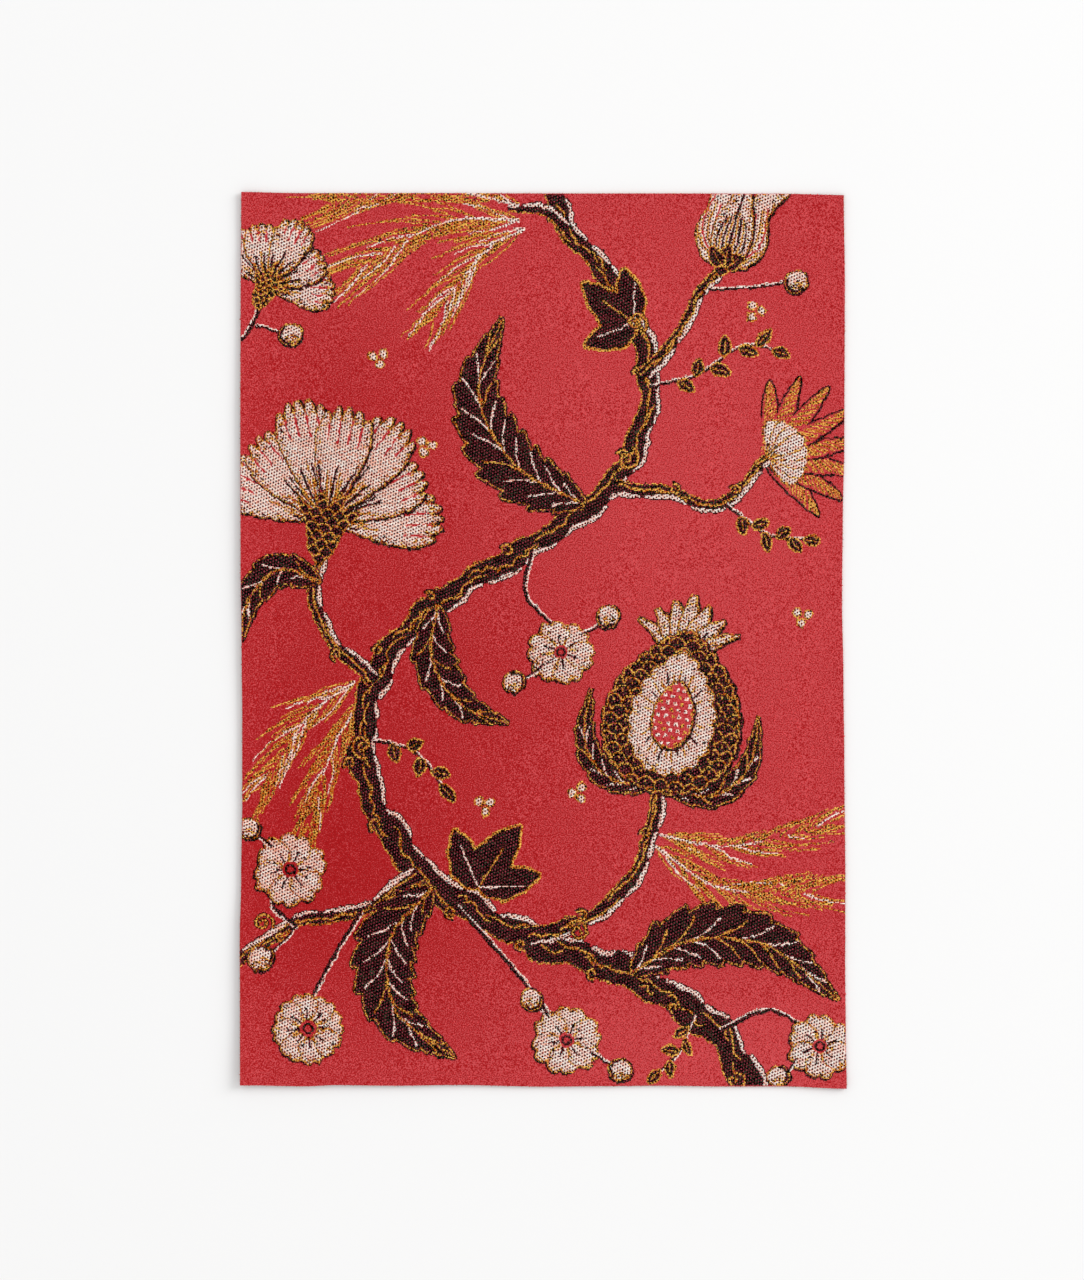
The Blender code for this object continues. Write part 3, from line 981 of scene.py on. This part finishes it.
def place_of(tree, scale=(1, 1, 1)):
    coord = tree.nodes.new("ShaderNodeTexCoord")
    mapping = tree.nodes.new("ShaderNodeMapping")
    mapping.inputs["Scale"].default_value = scale
    tree.links.new(coord.outputs["Object"], mapping.inputs["Vector"])
    return mapping.outputs["Vector"]


def attribute(tree, name):
    made = tree.nodes.new("ShaderNodeAttribute")
    made.attribute_name = name
    return made.outputs["Fac"]


def two_tone(tree, factor, low, high):
    mix = tree.nodes.new("ShaderNodeMix")
    mix.data_type = "RGBA"
    tree.links.new(factor, mix.inputs["Factor"])
    mix.inputs["A"].default_value = (*low, 1.0)
    mix.inputs["B"].default_value = (*high, 1.0)
    return mix.outputs["Result"]


def ground_material(name, low, high, roughness=0.85):
    """Red warp yarn: tone of each float, fine fibre noise, faint broad clouding."""
    mat, tree, shader = shader_of(name)
    fibre = noise(tree, place_of(tree), 2600.0, 0.0, 0.5)
    cloud = noise(tree, place_of(tree), 55.0, 3.0, 0.55)
    tone = math_node(tree, "MULTIPLY_ADD", attribute(tree, "tone"), 0.42, -1.70)
    tone = math_node(tree, "MULTIPLY_ADD", fibre, 3.8, tone)
    tone = math_node(tree, "MULTIPLY_ADD", cloud, 0.14, tone)
    tone = math_node(tree, "SUBTRACT", tone, 0.07)
    colour = two_tone(tree, tone, low, high)
    tree.links.new(colour, shader.inputs["Base Color"])
    shader.inputs["Roughness"].default_value = roughness
    shader.inputs["Specular IOR Level"].default_value = 0.25
    shader.inputs["Sheen Weight"].default_value = 0.06
    shader.inputs["Sheen Roughness"].default_value = 0.4
    bump = tree.nodes.new("ShaderNodeBump")
    bump.inputs["Strength"].default_value = 0.35
    bump.inputs["Distance"].default_value = 0.00004
    tree.links.new(fibre, bump.inputs["Height"])
    tree.links.new(bump.outputs["Normal"], shader.inputs["Normal"])
    return mat


def yarn_material(name, low, high, tie_shade, reach, twist, lift, roughness=0.7, sheen=0.08, gloss=0.3):
    """Figuring yarn lying along the pick: fibres run along x, its twist makes it blotchy,
    and painted shade darkens it towards its tie-downs, where it dives under the binding warp."""
    mat, tree, shader = shader_of(name)
    fibre = noise(tree, place_of(tree, (0.30, 1, 1)), 9000.0, 2.0, 0.6)
    blotch = noise(tree, place_of(tree, (0.8, 1, 1)), 2500.0, 0.0, 0.5)
    tone = math_node(tree, "MULTIPLY_ADD", attribute(tree, "tone"), 0.6, lift - 0.5 * twist)
    tone = math_node(tree, "MULTIPLY_ADD", fibre, 0.5, tone)
    tone = math_node(tree, "MULTIPLY_ADD", blotch, twist, tone)
    # painted shade: near each tie-down the yarn's colour turns to its shade colour
    tie_shade_mix = tree.nodes.new("ShaderNodeMix")
    tie_shade_mix.data_type = "RGBA"
    near = math_node(tree, "MINIMUM", attribute(tree, "from_start"), attribute(tree, "from_end"))
    ragged = math_node(tree, "MULTIPLY_ADD", noise(tree, place_of(tree), 2600.0, 1.0, 0.5), 0.20, near)
    step = tree.nodes.new("ShaderNodeMapRange")
    step.interpolation_type = "SMOOTHSTEP"
    tree.links.new(ragged, step.inputs["Value"])
    for key, value in (("From Min", reach * 0.55 + 0.10), ("From Max", reach * 1.35 + 0.10), ("To Min", 1.0), ("To Max", 0.0)):
        step.inputs[key].default_value = value
    tree.links.new(step.outputs["Result"], tie_shade_mix.inputs["Factor"])
    tree.links.new(two_tone(tree, tone, low, high), tie_shade_mix.inputs["A"])
    tie_shade_mix.inputs["B"].default_value = (*tie_shade, 1.0)
    tree.links.new(tie_shade_mix.outputs["Result"], shader.inputs["Base Color"])
    shader.inputs["Roughness"].default_value = roughness
    shader.inputs["Specular IOR Level"].default_value = gloss
    shader.inputs["Sheen Weight"].default_value = sheen
    shader.inputs["Sheen Roughness"].default_value = 0.35
    bump = tree.nodes.new("ShaderNodeBump")
    bump.inputs["Strength"].default_value = 0.4
    bump.inputs["Distance"].default_value = 0.00004
    tree.links.new(fibre, bump.inputs["Height"])
    tree.links.new(bump.outputs["Normal"], shader.inputs["Normal"])
    return mat


def sheet_material():
    """Base weave: red between the floats on the face, darker than the ground warp as painted shade for its depth
    between them; striped reverse underneath.
    """
    mat, tree, shader = shader_of("ground_base")
    vector = place_of(tree)
    fibre = noise(tree, vector, 2600.0, 0.0, 0.5)
    cloud = noise(tree, vector, 55.0, 3.0, 0.55)
    shade = math_node(tree, "MULTIPLY_ADD", fibre, 3.8, -1.42)
    # mixes in the painted light and shade of the ground
    shade = math_node(tree, "MULTIPLY_ADD", attribute(tree, "painted_shading"), 0.385, shade)
    shade = math_node(tree, "MULTIPLY_ADD", cloud, 0.14, shade)
    shade = math_node(tree, "SUBTRACT", shade, 0.07)
    # face red darker than the ground warp: painted shade where it lies deep between the floats
    red = two_tone(tree, shade, (0.36, 0.002, 0.004), (0.60, 0.069, 0.077))
    # reverse: the resting figuring picks show as fine stripes between red tie-downs
    split = tree.nodes.new("ShaderNodeSeparateXYZ")
    tree.links.new(vector, split.inputs[0])
    drift = math_node(tree, "MULTIPLY_ADD", noise(tree, vector, 900.0, 2.0, 0.5), 0.00012, split.outputs["Y"])
    pick = math_node(tree, "FRACT", math_node(tree, "DIVIDE", drift, 3 * PICK * MM))
    stripe = tree.nodes.new("ShaderNodeValToRGB")
    tree.links.new(pick, stripe.inputs["Fac"])
    ramp = stripe.color_ramp
    ramp.elements[0].position, ramp.elements[0].color = 0.0, (0.035, 0.014, 0.012, 1)
    ramp.elements[1].position, ramp.elements[1].color = 0.30, (0.045, 0.018, 0.015, 1)
    for position, colour in ((0.36, (0.46, 0.19, 0.03, 1)), (0.62, (0.52, 0.22, 0.04, 1)),
                             (0.68, (0.50, 0.32, 0.26, 1)), (0.96, (0.56, 0.37, 0.30, 1))):
        ramp.elements.new(position).color = colour
    tie = tree.nodes.new("ShaderNodeTexVoronoi")
    tie.inputs["Scale"].default_value = 1050.0
    tree.links.new(vector, tie.inputs["Vector"])
    bound = math_node(tree, "LESS_THAN", tie.outputs["Distance"], 0.42)
    reverse = tree.nodes.new("ShaderNodeMix")
    reverse.data_type = "RGBA"
    tree.links.new(bound, reverse.inputs["Factor"])
    tree.links.new(stripe.outputs["Color"], reverse.inputs["A"])
    reverse.inputs["B"].default_value = (0.36, 0.028, 0.034, 1)
    both = tree.nodes.new("ShaderNodeMix")
    both.data_type = "RGBA"
    tree.links.new(attribute(tree, "back"), both.inputs["Factor"])
    tree.links.new(red, both.inputs["A"])
    tree.links.new(reverse.outputs["Result"], both.inputs["B"])
    tree.links.new(both.outputs["Result"], shader.inputs["Base Color"])
    shader.inputs["Roughness"].default_value = 0.9
    shader.inputs["Specular IOR Level"].default_value = 0.2
    bump = tree.nodes.new("ShaderNodeBump")
    bump.inputs["Strength"].default_value = 0.5
    bump.inputs["Distance"].default_value = 0.00008
    ridge = math_node(tree, "SINE", math_node(tree, "MULTIPLY", drift, 2 * math.pi / (PICK * MM)))
    ridge = math_node(tree, "MULTIPLY_ADD", fibre, 0.6, ridge)
    tree.links.new(ridge, bump.inputs["Height"])
    tree.links.new(bump.outputs["Normal"], shader.inputs["Normal"])
    return mat


# ---- the base sheet ----------------------------------------------------------

def base_sheet(cells_across=84, cells_along=124):
    def lines(cells):
        t = np.linspace(0.0, 1.0, cells + 1)
        return t - 0.0073 * np.sin(2 * np.pi * t)
    u, v = np.meshgrid(lines(cells_across), lines(cells_along))
    x, y = outline(u, v)
    low = underside(x, y)
    high = face(x, y)
    rows, cols = x.shape
    count = rows * cols
    index = np.arange(count).reshape(rows, cols)
    a, b, c, d = index[:-1, :-1], index[:-1, 1:], index[1:, 1:], index[1:, :-1]
    bottom = np.stack([a, d, c, b], axis=-1).reshape(-1, 4)
    top = np.stack([a, b, c, d], axis=-1).reshape(-1, 4) + count
    ring = np.concatenate([index[0, :], index[1:, -1], index[-1, -2::-1], index[-2:0:-1, 0]])
    after = np.roll(ring, -1)
    side = np.stack([ring, after, after + count, ring + count], axis=1)
    points = np.concatenate([np.stack([x, y, low], -1).reshape(-1, 3), np.stack([x, y, high], -1).reshape(-1, 3)])
    faces = np.concatenate([bottom, top, side])
    mesh = new_mesh("base_sheet", points, faces, smooth=True)
    sharp = np.zeros(len(mesh.edges), bool)
    ends = np.zeros(len(mesh.edges) * 2, np.int32)
    mesh.edges.foreach_get("vertices", ends)
    ends = ends.reshape(-1, 2)
    rim = np.zeros(count * 2, bool)
    rim[ring] = True
    rim[ring + count] = True
    same = (ends[:, 0] < count) == (ends[:, 1] < count)
    sharp[rim[ends[:, 0]] & rim[ends[:, 1]] & same] = True
    mesh.edges.foreach_set("use_edge_sharp", sharp)
    flat = points[:, :2] / np.array([0.2090, 0.3070]) + 0.5
    half = flat * (0.5, 1.0)
    uv = half[faces]
    uv[:len(bottom)] += (0.5, 0.0)
    middle = np.array([0.25, 0.5])
    outward = (uv[-len(side):] - middle) / np.maximum(np.abs(uv[-len(side):] - middle).max(-1, keepdims=True), 1e-6)
    uv[-len(side):, :2] += outward[:, :2] * 0.0018
    layer = mesh.uv_layers.new(name="OFBake")
    layer.data.foreach_set("uv", uv.astype(np.float32).ravel())
    back = np.zeros(count * 2)
    back[:count] = 1.0
    give(mesh, "back", back)
    # painted light and shade of the ground, kept as a vertex attribute
    give(mesh, "painted_shading", painted_shading(points[:, 0], points[:, 1]))
    return put("ground_sheet", mesh, sheet_material())


# ---- floats ------------------------------------------------------------------

def hipped(start, end, across, width, rise, name, tone, tied):
    """Floats as small closed solids with a ridge: flat feet of full width, both ends sloping.
    start, end, across, width and rise are in metres."""
    n = len(start)
    shoulder = np.minimum(0.00017, (end - start) * 0.32)
    w = width / 2
    block = np.empty((n, 6, 3))
    corners = ((start, -w, 0.0), (start, w, 0.0), (end, w, 0.0), (end, -w, 0.0),
               (start + shoulder, 0.0, rise), (end - shoulder, 0.0, rise))
    from_start, from_end = np.empty((n, 6)), np.empty((n, 6))
    for k, (x, aside, up) in enumerate(corners):
        block[:, k, 0] = x
        block[:, k, 1] = across + aside
        block[:, k, 2] = face(x, across) + SEAT + up
        from_start[:, k] = np.where(tied[0], (x - start) / MM, 9.0)
        from_end[:, k] = np.where(tied[1], (end - x) / MM, 9.0)
    tri = np.array([(1, 0, 4), (3, 2, 5), (0, 3, 5), (0, 5, 4), (2, 1, 4), (2, 4, 5), (0, 1, 2), (0, 2, 3)])
    points = block.reshape(-1, 3)
    faces = (tri[None] + (np.arange(n) * 6)[:, None, None]).reshape(-1, 3)
    mesh = new_mesh(name, points, faces)
    lay_out(mesh, points, faces)
    give(mesh, "tone", np.repeat(tone, 6))
    give(mesh, "from_start", from_start.ravel())
    give(mesh, "from_end", from_end.ravel())
    return mesh


def cut_mask(margin=0.15):
    """Which steps of which picks lie on the cloth, inside its cut edges."""
    x = (X0 + (np.arange(COLS) + 0.5) * END) * MM
    y = (Y0 + (np.arange(ROWS) + 0.5) * PICK) * MM
    u, v = x / CUT_WIDTH + 0.5, y / CUT_LENGTH + 0.5
    left = -CUT_WIDTH / 2 - along(LEFT_CUT, v) * MM + margin * MM
    right = CUT_WIDTH / 2 + along(RIGHT_CUT, v) * MM - margin * MM
    foot = -CUT_LENGTH / 2 - along(FOOT_CUT, u) * MM + margin * MM
    head = CUT_LENGTH / 2 + along(HEAD_CUT, u) * MM - margin * MM
    return ((x[None, :] > left[:, None]) & (x[None, :] < right[:, None])
            & (y[:, None] > foot[None, :]) & (y[:, None] < head[None, :]))


on_cloth = cut_mask()
yarn_plan = np.where(on_cloth, plan, GROUND)


def float_runs():
    """Row, first step, last step, yarn and tie-downs of every float of the figure."""
    tie = (np.arange(COLS)[None, :] - TIE_SHIFT * np.arange(ROWS)[:, None]) // FLOAT_ENDS
    change = np.ones(yarn_plan.shape, bool)
    change[:, 1:] = (yarn_plan[:, 1:] != yarn_plan[:, :-1]) | (tie[:, 1:] != tie[:, :-1])
    start = np.flatnonzero(change)
    end = np.append(start[1:], yarn_plan.size)
    yarn = yarn_plan.ravel()[start]
    keep = yarn > 0
    start, end, yarn = start[keep], end[keep], yarn[keep]
    row, first = start // COLS, start % COLS
    last = first + (end - start)
    tied_first = (first - TIE_SHIFT * row) % FLOAT_ENDS == 0
    tied_last = (last - TIE_SHIFT * row) % FLOAT_ENDS == 0
    return row, first, last, yarn, tied_first, tied_last


def figure_floats():
    row, first, last, yarn, tied_first, tied_last = float_runs()
    draw = np.random.default_rng(7)
    n = len(row)
    gap = np.array(TIE_GAPS)[yarn] * (1 + draw.normal(0, 0.18, n))
    x1 = X0 + first * END + np.where(tied_first, gap, -0.02)
    x2 = X0 + last * END - np.where(tied_last, gap, -0.02)
    short = (x2 - x1) < 0.36
    middle = (x1 + x2) / 2
    x1 = np.where(short, middle - 0.18, x1)
    x2 = np.where(short, middle + 0.18, x2)
    y = Y0 + (row + 0.5) * PICK + draw.normal(0, 0.012, n)
    width = np.where(yarn == GOLD, 0.355, 0.380) * (1 + draw.normal(0, 0.05, n))
    rise = 0.13 * (1 + draw.normal(0, 0.12, n))
    spread = np.where(yarn == GOLD, 0.40, 0.24)
    # the floats take a little of the painted light and shade of the ground
    tone = np.clip(draw.normal(0.5, 1.0, n) * spread + 0.5 * (1 - spread), -0.1, 1.1) + 0.20 * painted_shading(middle * MM, y * MM)
    pieces = []
    # the colour after high is painted shade for each yarn at its tie-downs
    for code, name, low, high, tie_shade, reach, twist, lift, rough in (
            (DARK, "dark_weft", (0.0003, 0.0002, 0.0001), (0.042, 0.0600, 0.0330), (0.006, 0.003, 0.001), 0.08, 8.0, -1.10, 0.9),
            (CREAM, "cream_weft", (0.97, 0.455, 0.320), (1.0, 0.95, 0.88), (0.36, 0.045, 0.036), 0.14, 2.8, 0.12, 0.7),
            (GOLD, "gold_weft", (0.54, 0.10, 0.000), (1.0, 0.62, 0.120), (0.100, 0.030, 0.003), 0.12, 4.0, -0.05, 0.6)):
        material = yarn_material(name, low, high, tie_shade, reach, twist, lift, rough, 0.03 if code == CREAM else 0.0,
                                 {DARK: 0.02, CREAM: 0.2, GOLD: 0.06}[code])
        cut = np.quantile(y[yarn == code], 0.5)
        for part, chosen in (("lower", (yarn == code) & (y < cut)), ("upper", (yarn == code) & (y >= cut))):
            mesh = hipped(x1[chosen] * MM, x2[chosen] * MM, y[chosen] * MM, width[chosen] * MM, rise[chosen] * MM,
                          f"{name}_{part}", tone[chosen], (tied_first[chosen], tied_last[chosen]))
            pieces.append(put(f"{name}_{part}", mesh, material))
    return pieces


def ground_grains():
    """Warp floats of the ground: every second pick, each row shifted along the steep twill."""
    step, rise, shift = 11.5 * END, 2 * PICK, 4.45 * END
    rows = int((ROWS * PICK) / rise)
    r, c = np.meshgrid(np.arange(rows), np.arange(-2, int(COLS * END / step) + 3), indexing="ij")
    x = X0 + c * step + (r * shift) % step
    y = Y0 + (r + 0.5) * rise
    x, y = x.ravel(), y.ravel()
    draw = np.random.default_rng(19)
    col = np.clip(((x - X0) / END).astype(int), 0, COLS - 1)
    row = np.clip(((y - Y0) / PICK).astype(int), 0, ROWS - 1)
    bare = np.ones(len(x), bool)
    for dr in (-1, 0, 1):
        for dc in (-1, 0, 1):
            bare &= yarn_plan[np.clip(row + dr, 0, ROWS - 1), np.clip(col + dc, 0, COLS - 1)] == GROUND
    inner = cut_mask(0.35)
    bare &= inner[row, col]
    x, y = x[bare], y[bare]
    n = len(x)
    x = x + draw.normal(0, 0.20, n)
    y = y + draw.normal(0, 0.17, n)
    half = 0.50 * (1 + draw.normal(0, 0.18, n))
    width = 0.76 * (1 + draw.normal(0, 0.18, n)) / 2
    tall = 0.065 * np.clip(1 + draw.normal(0, 0.35, n), 0.3, 2.0)
    lean = 0.10 + draw.normal(0, 0.12, n)
    # each grain takes the painted light and shade of the ground
    tone = np.clip(draw.normal(0.5, 0.22, n), -0.4, 1.4) + 1.07 * painted_shading(x * MM, y * MM)
    z = face(x * MM, y * MM)
    block = np.empty((n, 5, 3))
    for k, (aside, ahead, up) in enumerate(((0, -1, 0), (1, 0, 0), (0, 1, 0), (-1, 0, 0), (0, 0, 1))):
        block[:, k, 0] = (x + aside * width + ahead * lean) * MM
        block[:, k, 1] = (y + ahead * half) * MM
        block[:, k, 2] = z + (tall * MM if up else -0.00003)
    tri = np.array([(0, 1, 4), (1, 2, 4), (2, 3, 4), (3, 0, 4), (0, 2, 1), (0, 3, 2)])
    material = ground_material("ground_warp", (0.444, 0.0045, 0.0075), (0.742, 0.0715, 0.0815))
    pieces = []
    cut = np.quantile(y, 0.5)
    for part, chosen in (("lower", y < cut), ("upper", y >= cut)):
        m = int(chosen.sum())
        points = block[chosen].reshape(-1, 3)
        faces = (tri[None] + (np.arange(m) * 5)[:, None, None]).reshape(-1, 3)
        mesh = new_mesh(f"ground_warp_{part}", points, faces)
        lay_out(mesh, points, faces)
        give(mesh, "tone", np.repeat(tone[chosen], 5))
        pieces.append(put(f"ground_warp_{part}", mesh, material))
    return pieces


def tie_downs():
    """Binding warp over the joint of every two floats of a pick, each a low diamond whose red is darkened by painted
    shade where it lies sunk between the floats.
    """
    row, col = np.nonzero(((np.arange(COLS)[None, :] - TIE_SHIFT * np.arange(ROWS)[:, None]) % FLOAT_ENDS == 0)
                          & (np.arange(COLS)[None, :] > 0))
    before, after = yarn_plan[row, col - 1], yarn_plan[row, col]
    both = (before > 0) & (after > 0)
    row, col, before, after = row[both], col[both], before[both], after[both]
    yarn = np.where(before == DARK, before, after)
    n = len(row)
    draw = np.random.default_rng(31)
    x = X0 + col * END + draw.normal(0, 0.035, n)
    y = Y0 + (row + 0.5) * PICK + draw.normal(0, 0.02, n)
    size = np.array([1.0, 0.92, 1.08, 1.0])[yarn]
    half = size * TIE_WIDTH / 2 * (1 + draw.normal(0, 0.12, n))
    reach = size * TIE_LENGTH / 2 * (1 + draw.normal(0, 0.12, n))
    above = yarn_plan[np.clip(row + 1, 0, ROWS - 1), col] > 0
    below = yarn_plan[np.clip(row - 1, 0, ROWS - 1), col] > 0
    seat = TIE_SEAT * MM
    block = np.empty((n, 5, 3))
    corners = ((0, -np.where(below, reach, 0.20), np.where(below, seat, 0.0)), (half, 0, seat),
               (0, np.where(above, reach, 0.20), np.where(above, seat, 0.0)), (-half, 0, seat), (0, 0, TIE_RISE * MM))
    floor = face(x * MM, y * MM) + SEAT
    for k, (aside, ahead, up) in enumerate(corners):
        block[:, k, 0] = (x + aside) * MM
        block[:, k, 1] = (y + ahead) * MM
        block[:, k, 2] = floor + up
    tri = np.array([(0, 1, 4), (1, 2, 4), (2, 3, 4), (3, 0, 4), (0, 2, 1), (0, 3, 2)])
    points = block.reshape(-1, 3)
    faces = (tri[None] + (np.arange(n) * 5)[:, None, None]).reshape(-1, 3)
    mesh = new_mesh("tie_downs", points, faces)
    lay_out(mesh, points, faces)
    # red of the binding warp darkened with painted shade, deepest over gold and cream where the tie sinks between the
    # floats
    tints = np.array([(0.0, 0.0, 0.0), (0.255, 0.036, 0.056), (0.120, 0.002, 0.003), (0.030, 0.006, 0.001)])[yarn]
    tints = tints * draw.uniform(0.45, 1.55, (n, 1))
    layer = mesh.color_attributes.new("tint", "FLOAT_COLOR", "POINT")
    colour = np.ones((n * 5, 4), np.float32)
    colour[:, :3] = np.repeat(tints, 5, axis=0)
    layer.data.foreach_set("color", colour.ravel())
    return put("tie_downs", mesh, tinted_material("binding_warp"))


def tinted_material(name):
    """Yarn coloured by its tint attribute, with a fibre grain; on the tie-downs that tint holds painted shade."""
    mat, tree, shader = shader_of(name)
    tint = tree.nodes.new("ShaderNodeAttribute")
    tint.attribute_name = "tint"
    fibre = noise(tree, place_of(tree), 9000.0, 2.0, 0.6)
    mix = tree.nodes.new("ShaderNodeMix")
    mix.data_type = "RGBA"
    mix.blend_type = "MULTIPLY"
    mix.inputs["Factor"].default_value = 1.0
    tree.links.new(tint.outputs["Color"], mix.inputs["A"])
    tree.links.new(two_tone(tree, fibre, (0.6, 0.6, 0.6), (1.25, 1.25, 1.25)), mix.inputs["B"])
    tree.links.new(mix.outputs["Result"], shader.inputs["Base Color"])
    shader.inputs["Roughness"].default_value = 0.9
    shader.inputs["Specular IOR Level"].default_value = 0.05
    return mat


def cut_ends():
    """Tips of the cut yarns: weft ends along the two sides, warp ends at foot and head."""
    draw = np.random.default_rng(23)
    tints = {GROUND: (0.72, 0.16, 0.16), DARK: (0.10, 0.05, 0.04), CREAM: (0.92, 0.78, 0.70), GOLD: (0.80, 0.50, 0.16)}
    places, tones = [], []
    for side, table in (("left", LEFT_CUT), ("right", RIGHT_CUT), ("foot", FOOT_CUT), ("head", HEAD_CUT)):
        upright = side in ("left", "right")
        length = CUT_LENGTH if upright else CUT_WIDTH
        step = (0.26 if upright else 0.21) * MM
        at = np.arange(-length / 2 + step, length / 2 - step, step)
        at = at + draw.normal(0, 0.06 * MM, len(at))
        reach = np.clip(draw.gamma(2.2, 0.055, len(at)), 0.02, 0.42) * MM
        level = draw.uniform(0.12, 0.92, len(at)) * FACE
        sway = draw.normal(0, 0.10, len(at)) * MM
        sign = -1.0 if side in ("left", "foot") else 1.0
        half = (CUT_WIDTH if upright else CUT_LENGTH) / 2
        cut = sign * (half + along(table, at / length + 0.5) * MM)
        x0, y0 = (cut - sign * 0.35 * MM, at) if upright else (at, cut - sign * 0.35 * MM)
        col = np.clip(((x0 / MM - X0 - sign * 0.6 * upright) / END).astype(int), 0, COLS - 1)
        row = np.clip(((y0 / MM - Y0 - sign * 0.6 * (not upright)) / PICK).astype(int), 0, ROWS - 1)
        yarn = plan[row, col]
        resting = draw.random(len(at))
        yarn = np.where(resting < 0.62, GROUND, np.where(yarn == GROUND, draw.choice([DARK, GOLD, CREAM], len(at)), yarn))
        for k in range(len(at)):
            tip = cut[k] + sign * reach[k]
            p0 = np.array([x0[k], y0[k]])
            p1 = np.array([tip, y0[k] + sway[k]]) if upright else np.array([x0[k] + sway[k], tip])
            z0 = underside(p0[:1], p0[1:])[0] + level[k]
            z1 = z0 - draw.uniform(0.0, 0.10) * MM
            aside = np.array([0.0, 1.0]) if upright else np.array([1.0, 0.0])
            r0, r1 = 0.11 * MM, 0.06 * MM
            ring = []
            for p, z, r in ((p0, z0, r0), (p1, z1, r1)):
                ring += [(*(p + aside * r), z - r * 0.6), (*(p - aside * r), z - r * 0.6), (*p, z + r)]
            places.append(ring)
            tones.append(np.array(tints[int(yarn[k])]) * draw.uniform(0.75, 1.15))
    block = np.array(places)
    n = len(block)
    tri = [(0, 1, 2), (3, 5, 4)]
    for a, b in ((0, 1), (1, 2), (2, 0)):
        tri += [(a, a + 3, b + 3), (a, b + 3, b)]
    points = block.reshape(-1, 3)
    points[:, 2] = np.maximum(points[:, 2], 0.00001)
    faces = (np.array(tri)[None] + (np.arange(n) * 6)[:, None, None]).reshape(-1, 3)
    mesh = new_mesh("cut_ends", points, faces)
    lay_out(mesh, points, faces)
    layer = mesh.color_attributes.new("tint", "FLOAT_COLOR", "POINT")
    colour = np.ones((n * 6, 4), np.float32)
    colour[:, :3] = np.repeat(np.array(tones), 6, axis=0)
    layer.data.foreach_set("color", colour.ravel())
    return put("cut_ends", mesh, tinted_material("cut_yarn"))


sheet = base_sheet()
floats = figure_floats()
ties = tie_downs()
ends = cut_ends()
grains = ground_grains()
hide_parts("cloth")
print("triangles", {o.name: len(o.data.polygons) for o in floats + grains + [sheet, ties, ends]},
      sum(len(o.data.polygons) for o in floats + grains + [ties, ends]) + 2 * len(sheet.data.polygons))


# ---- studio ------------------------------------------------------------------

def studio():
    mesh = bpy.data.meshes.new("floor")
    s = 1.6
    mesh.from_pydata([(-s, -s, FLOOR), (s, -s, FLOOR), (s, s, FLOOR), (-s, s, FLOOR)], [], [(0, 1, 2, 3)])
    floor = bpy.data.objects.new("floor", mesh)
    bpy.context.scene.collection.objects.link(floor)
    mat, tree, shader = shader_of("pale_floor")
    shader.inputs["Base Color"].default_value = (0.86, 0.86, 0.86, 1)
    shader.inputs["Roughness"].default_value = 0.9
    shader.inputs["Specular IOR Level"].default_value = 0.1
    mesh.materials.append(mat)

    world = bpy.data.worlds.new("soft_sky")
    world.use_nodes = True
    background = world.node_tree.nodes["Background"]
    background.inputs["Color"].default_value = (1.0, 1.0, 1.0, 1)
    background.inputs["Strength"].default_value = 0.875
    bpy.context.scene.world = world

    key = bpy.data.lights.new("key", "AREA")
    key.shape = "DISK"
    key.size = 3.0
    key.energy = 125.0
    key.color = (1.0, 0.99, 0.98)
    lamp = bpy.data.objects.new("key", key)
    bpy.context.scene.collection.objects.link(lamp)
    spot = np.array([3.90, 1.70, 2.50])
    lamp.location = spot
    from mathutils import Vector
    lamp.rotation_euler = Vector((-spot[0], -spot[1], -spot[2])).to_track_quat("-Z", "Y").to_euler()

    camera = bpy.data.cameras.new("camera")
    camera.sensor_fit = "AUTO"
    camera.sensor_width = 36.0
    height = 1.5
    camera.lens = 36.0 * (height - 0.001) / (1280 * 0.34 * MM)
    camera.clip_start, camera.clip_end = 0.05, 10.0
    eye = bpy.data.objects.new("camera", camera)
    eye.location = (-0.00044, 0.00013, height)
    bpy.context.scene.collection.objects.link(eye)
    bpy.context.scene.camera = eye
    bpy.context.scene.view_settings.view_transform = "Standard"
    bpy.context.scene.view_settings.look = "None"


studio()
